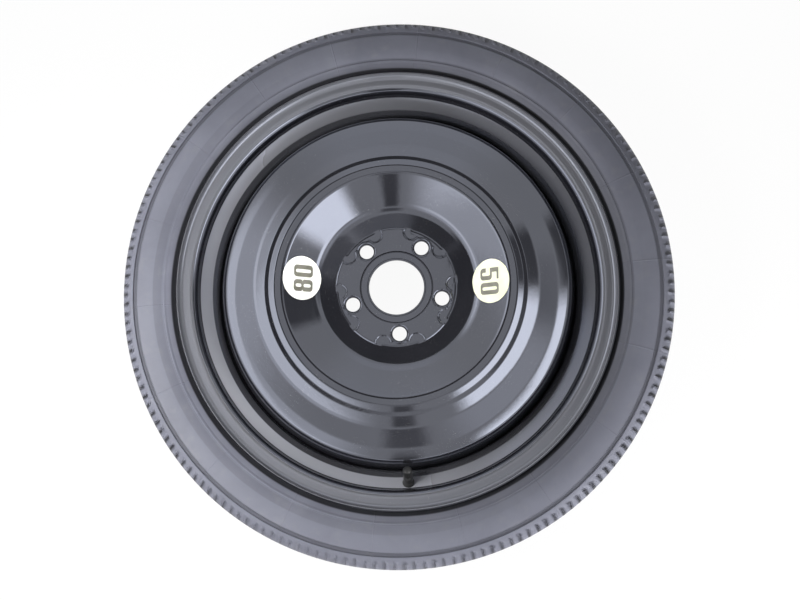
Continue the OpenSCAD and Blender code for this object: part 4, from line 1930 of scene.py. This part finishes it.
# Where two cards overlap, the one that stands first hides the other
CARDS = (
    Card((263, 279), (38, 78), 0.18, 0.3),
    Card((257, 284), (20, 40), 0.30, 0.3),
    Card((262, 328), (9.5, 22), 0.50, 0.25, LEAN),
    Card((322, 358), (10, 36), 0.35, 0.2, LEAN),
    Card((-20, 236), (9, 34), 0.10, 0.10, LEAN),
    Card((216, 284), (9, 20), 0.12, 0.10, LEAN),
    Card((284, 366), (26, 42), 1.6, 0.3),
    Card((-10, 32), (14, 46), 0.55, 0.3),
    Card((326, 371), (42, 59), 5.5, 0.25),
    Card((296, 345), (42, 66), 5.5, 0.25),
    Card((130, 262), (48, 61), 3.4, 0.25),
    Card((130, 262), (36, 72), 2.1, 0.2),
    Card((-30, 248), (79, 93), 0.10, 0.12),
    Card((5, 38), (46, 74), 0.22, 0.25),
    Card((50, 130), (40, 82), 1.25, 0.3),
    Card((244, 340), (70, 87), 2.8, 0.25),
)

LAMPS = (
    Lamp("soft_left", (-0.50, -0.15, 0.55), 0.4, 8.8),
    Lamp("soft_low", (0.72, -0.70, 0.24), 0.35, 14),
    Lamp("soft_top", (-0.3, 1.2, 2.4), 1.8, 10),
)


def main() -> None:
    """Builds the wheel and its studio, and reports each piece."""
    logging.basicConfig(level=logging.INFO, format="%(name)s: %(message)s")
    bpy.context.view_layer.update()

    paint = BlackPaint().build("black_paint")
    rim_paint = BlackPaint(rings=RIM_PAINTED_SHEEN).build("rim_paint")
    weld = WeldPaint().build("weld")
    tyre_rubber = Rubber((0.100, 0.103, 0.130, 1), (0.135, 0.139, 0.172, 1), 0.42, mould_lines=True,
                         rings=TYRE_RINGS).build("rubber_tyre")
    valve_rubber = Rubber((0.012, 0.012, 0.012, 1), (0.03, 0.03, 0.03, 1), 0.38).build("valve_rubber")
    seal_rubber = Rubber((0.02, 0.02, 0.02, 1), (0.05, 0.05, 0.05, 1), 0.5, 1500).build("seal_rubber")
    gasket = Rubber((0.16, 0.03, 0.02, 1), (0.24, 0.06, 0.04, 1), 0.45, 1500).build("gasket")
    brass = Metal((0.72, 0.55, 0.26, 1), (0.42, 0.30, 0.14, 1), 0.24).build("brass")
    steel = Metal((0.60, 0.60, 0.60, 1), (0.38, 0.37, 0.36, 1), 0.28).build("spring_steel")
    cap_plastic = Plastic((0.008, 0.008, 0.008, 1), (0.02, 0.02, 0.02, 1), 0.34).build("cap_plastic")
    white_film = Plastic((1.0, 1.0, 0.94, 1), (0.97, 0.98, 0.88, 1), 0.42, 900, 0.00001).build("white_film")
    pale_film = Plastic((0.84, 0.84, 0.64, 1), (0.80, 0.83, 0.52, 1), 0.42, 900, 0.00001).build("pale_film")
    ink = Plastic((0.12, 0.115, 0.085, 1), (0.20, 0.195, 0.16, 1), 0.5, 700, 0.00001).build("label_ink")

    rim = Rim()
    valve = Valve(rim)
    disc = PressedDisc(rim)
    Tyre(rim).build(tyre_rubber)
    rim.build(valve, rim_paint)
    disc.build(paint)
    Welds(disc).build(weld)
    valve.build(valve_rubber, brass, cap_plastic)
    Label(disc, "label_80", "80", 175.5, 180.0).build(white_film, ink)
    Label(disc, "label_50", "50", 2.0, 0.0).build(pale_film, ink)
    dress(("core_plug", "core_barrel", "core_pin", "core_cup"), brass)
    dress(("core_spring",), steel)
    dress(("core_gasket", "cup_gasket"), gasket)
    dress(("cap_seal",), seal_rubber)

    Studio(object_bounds()[0][2], CARDS, LAMPS).build()


if __name__ == "__main__":
    main()
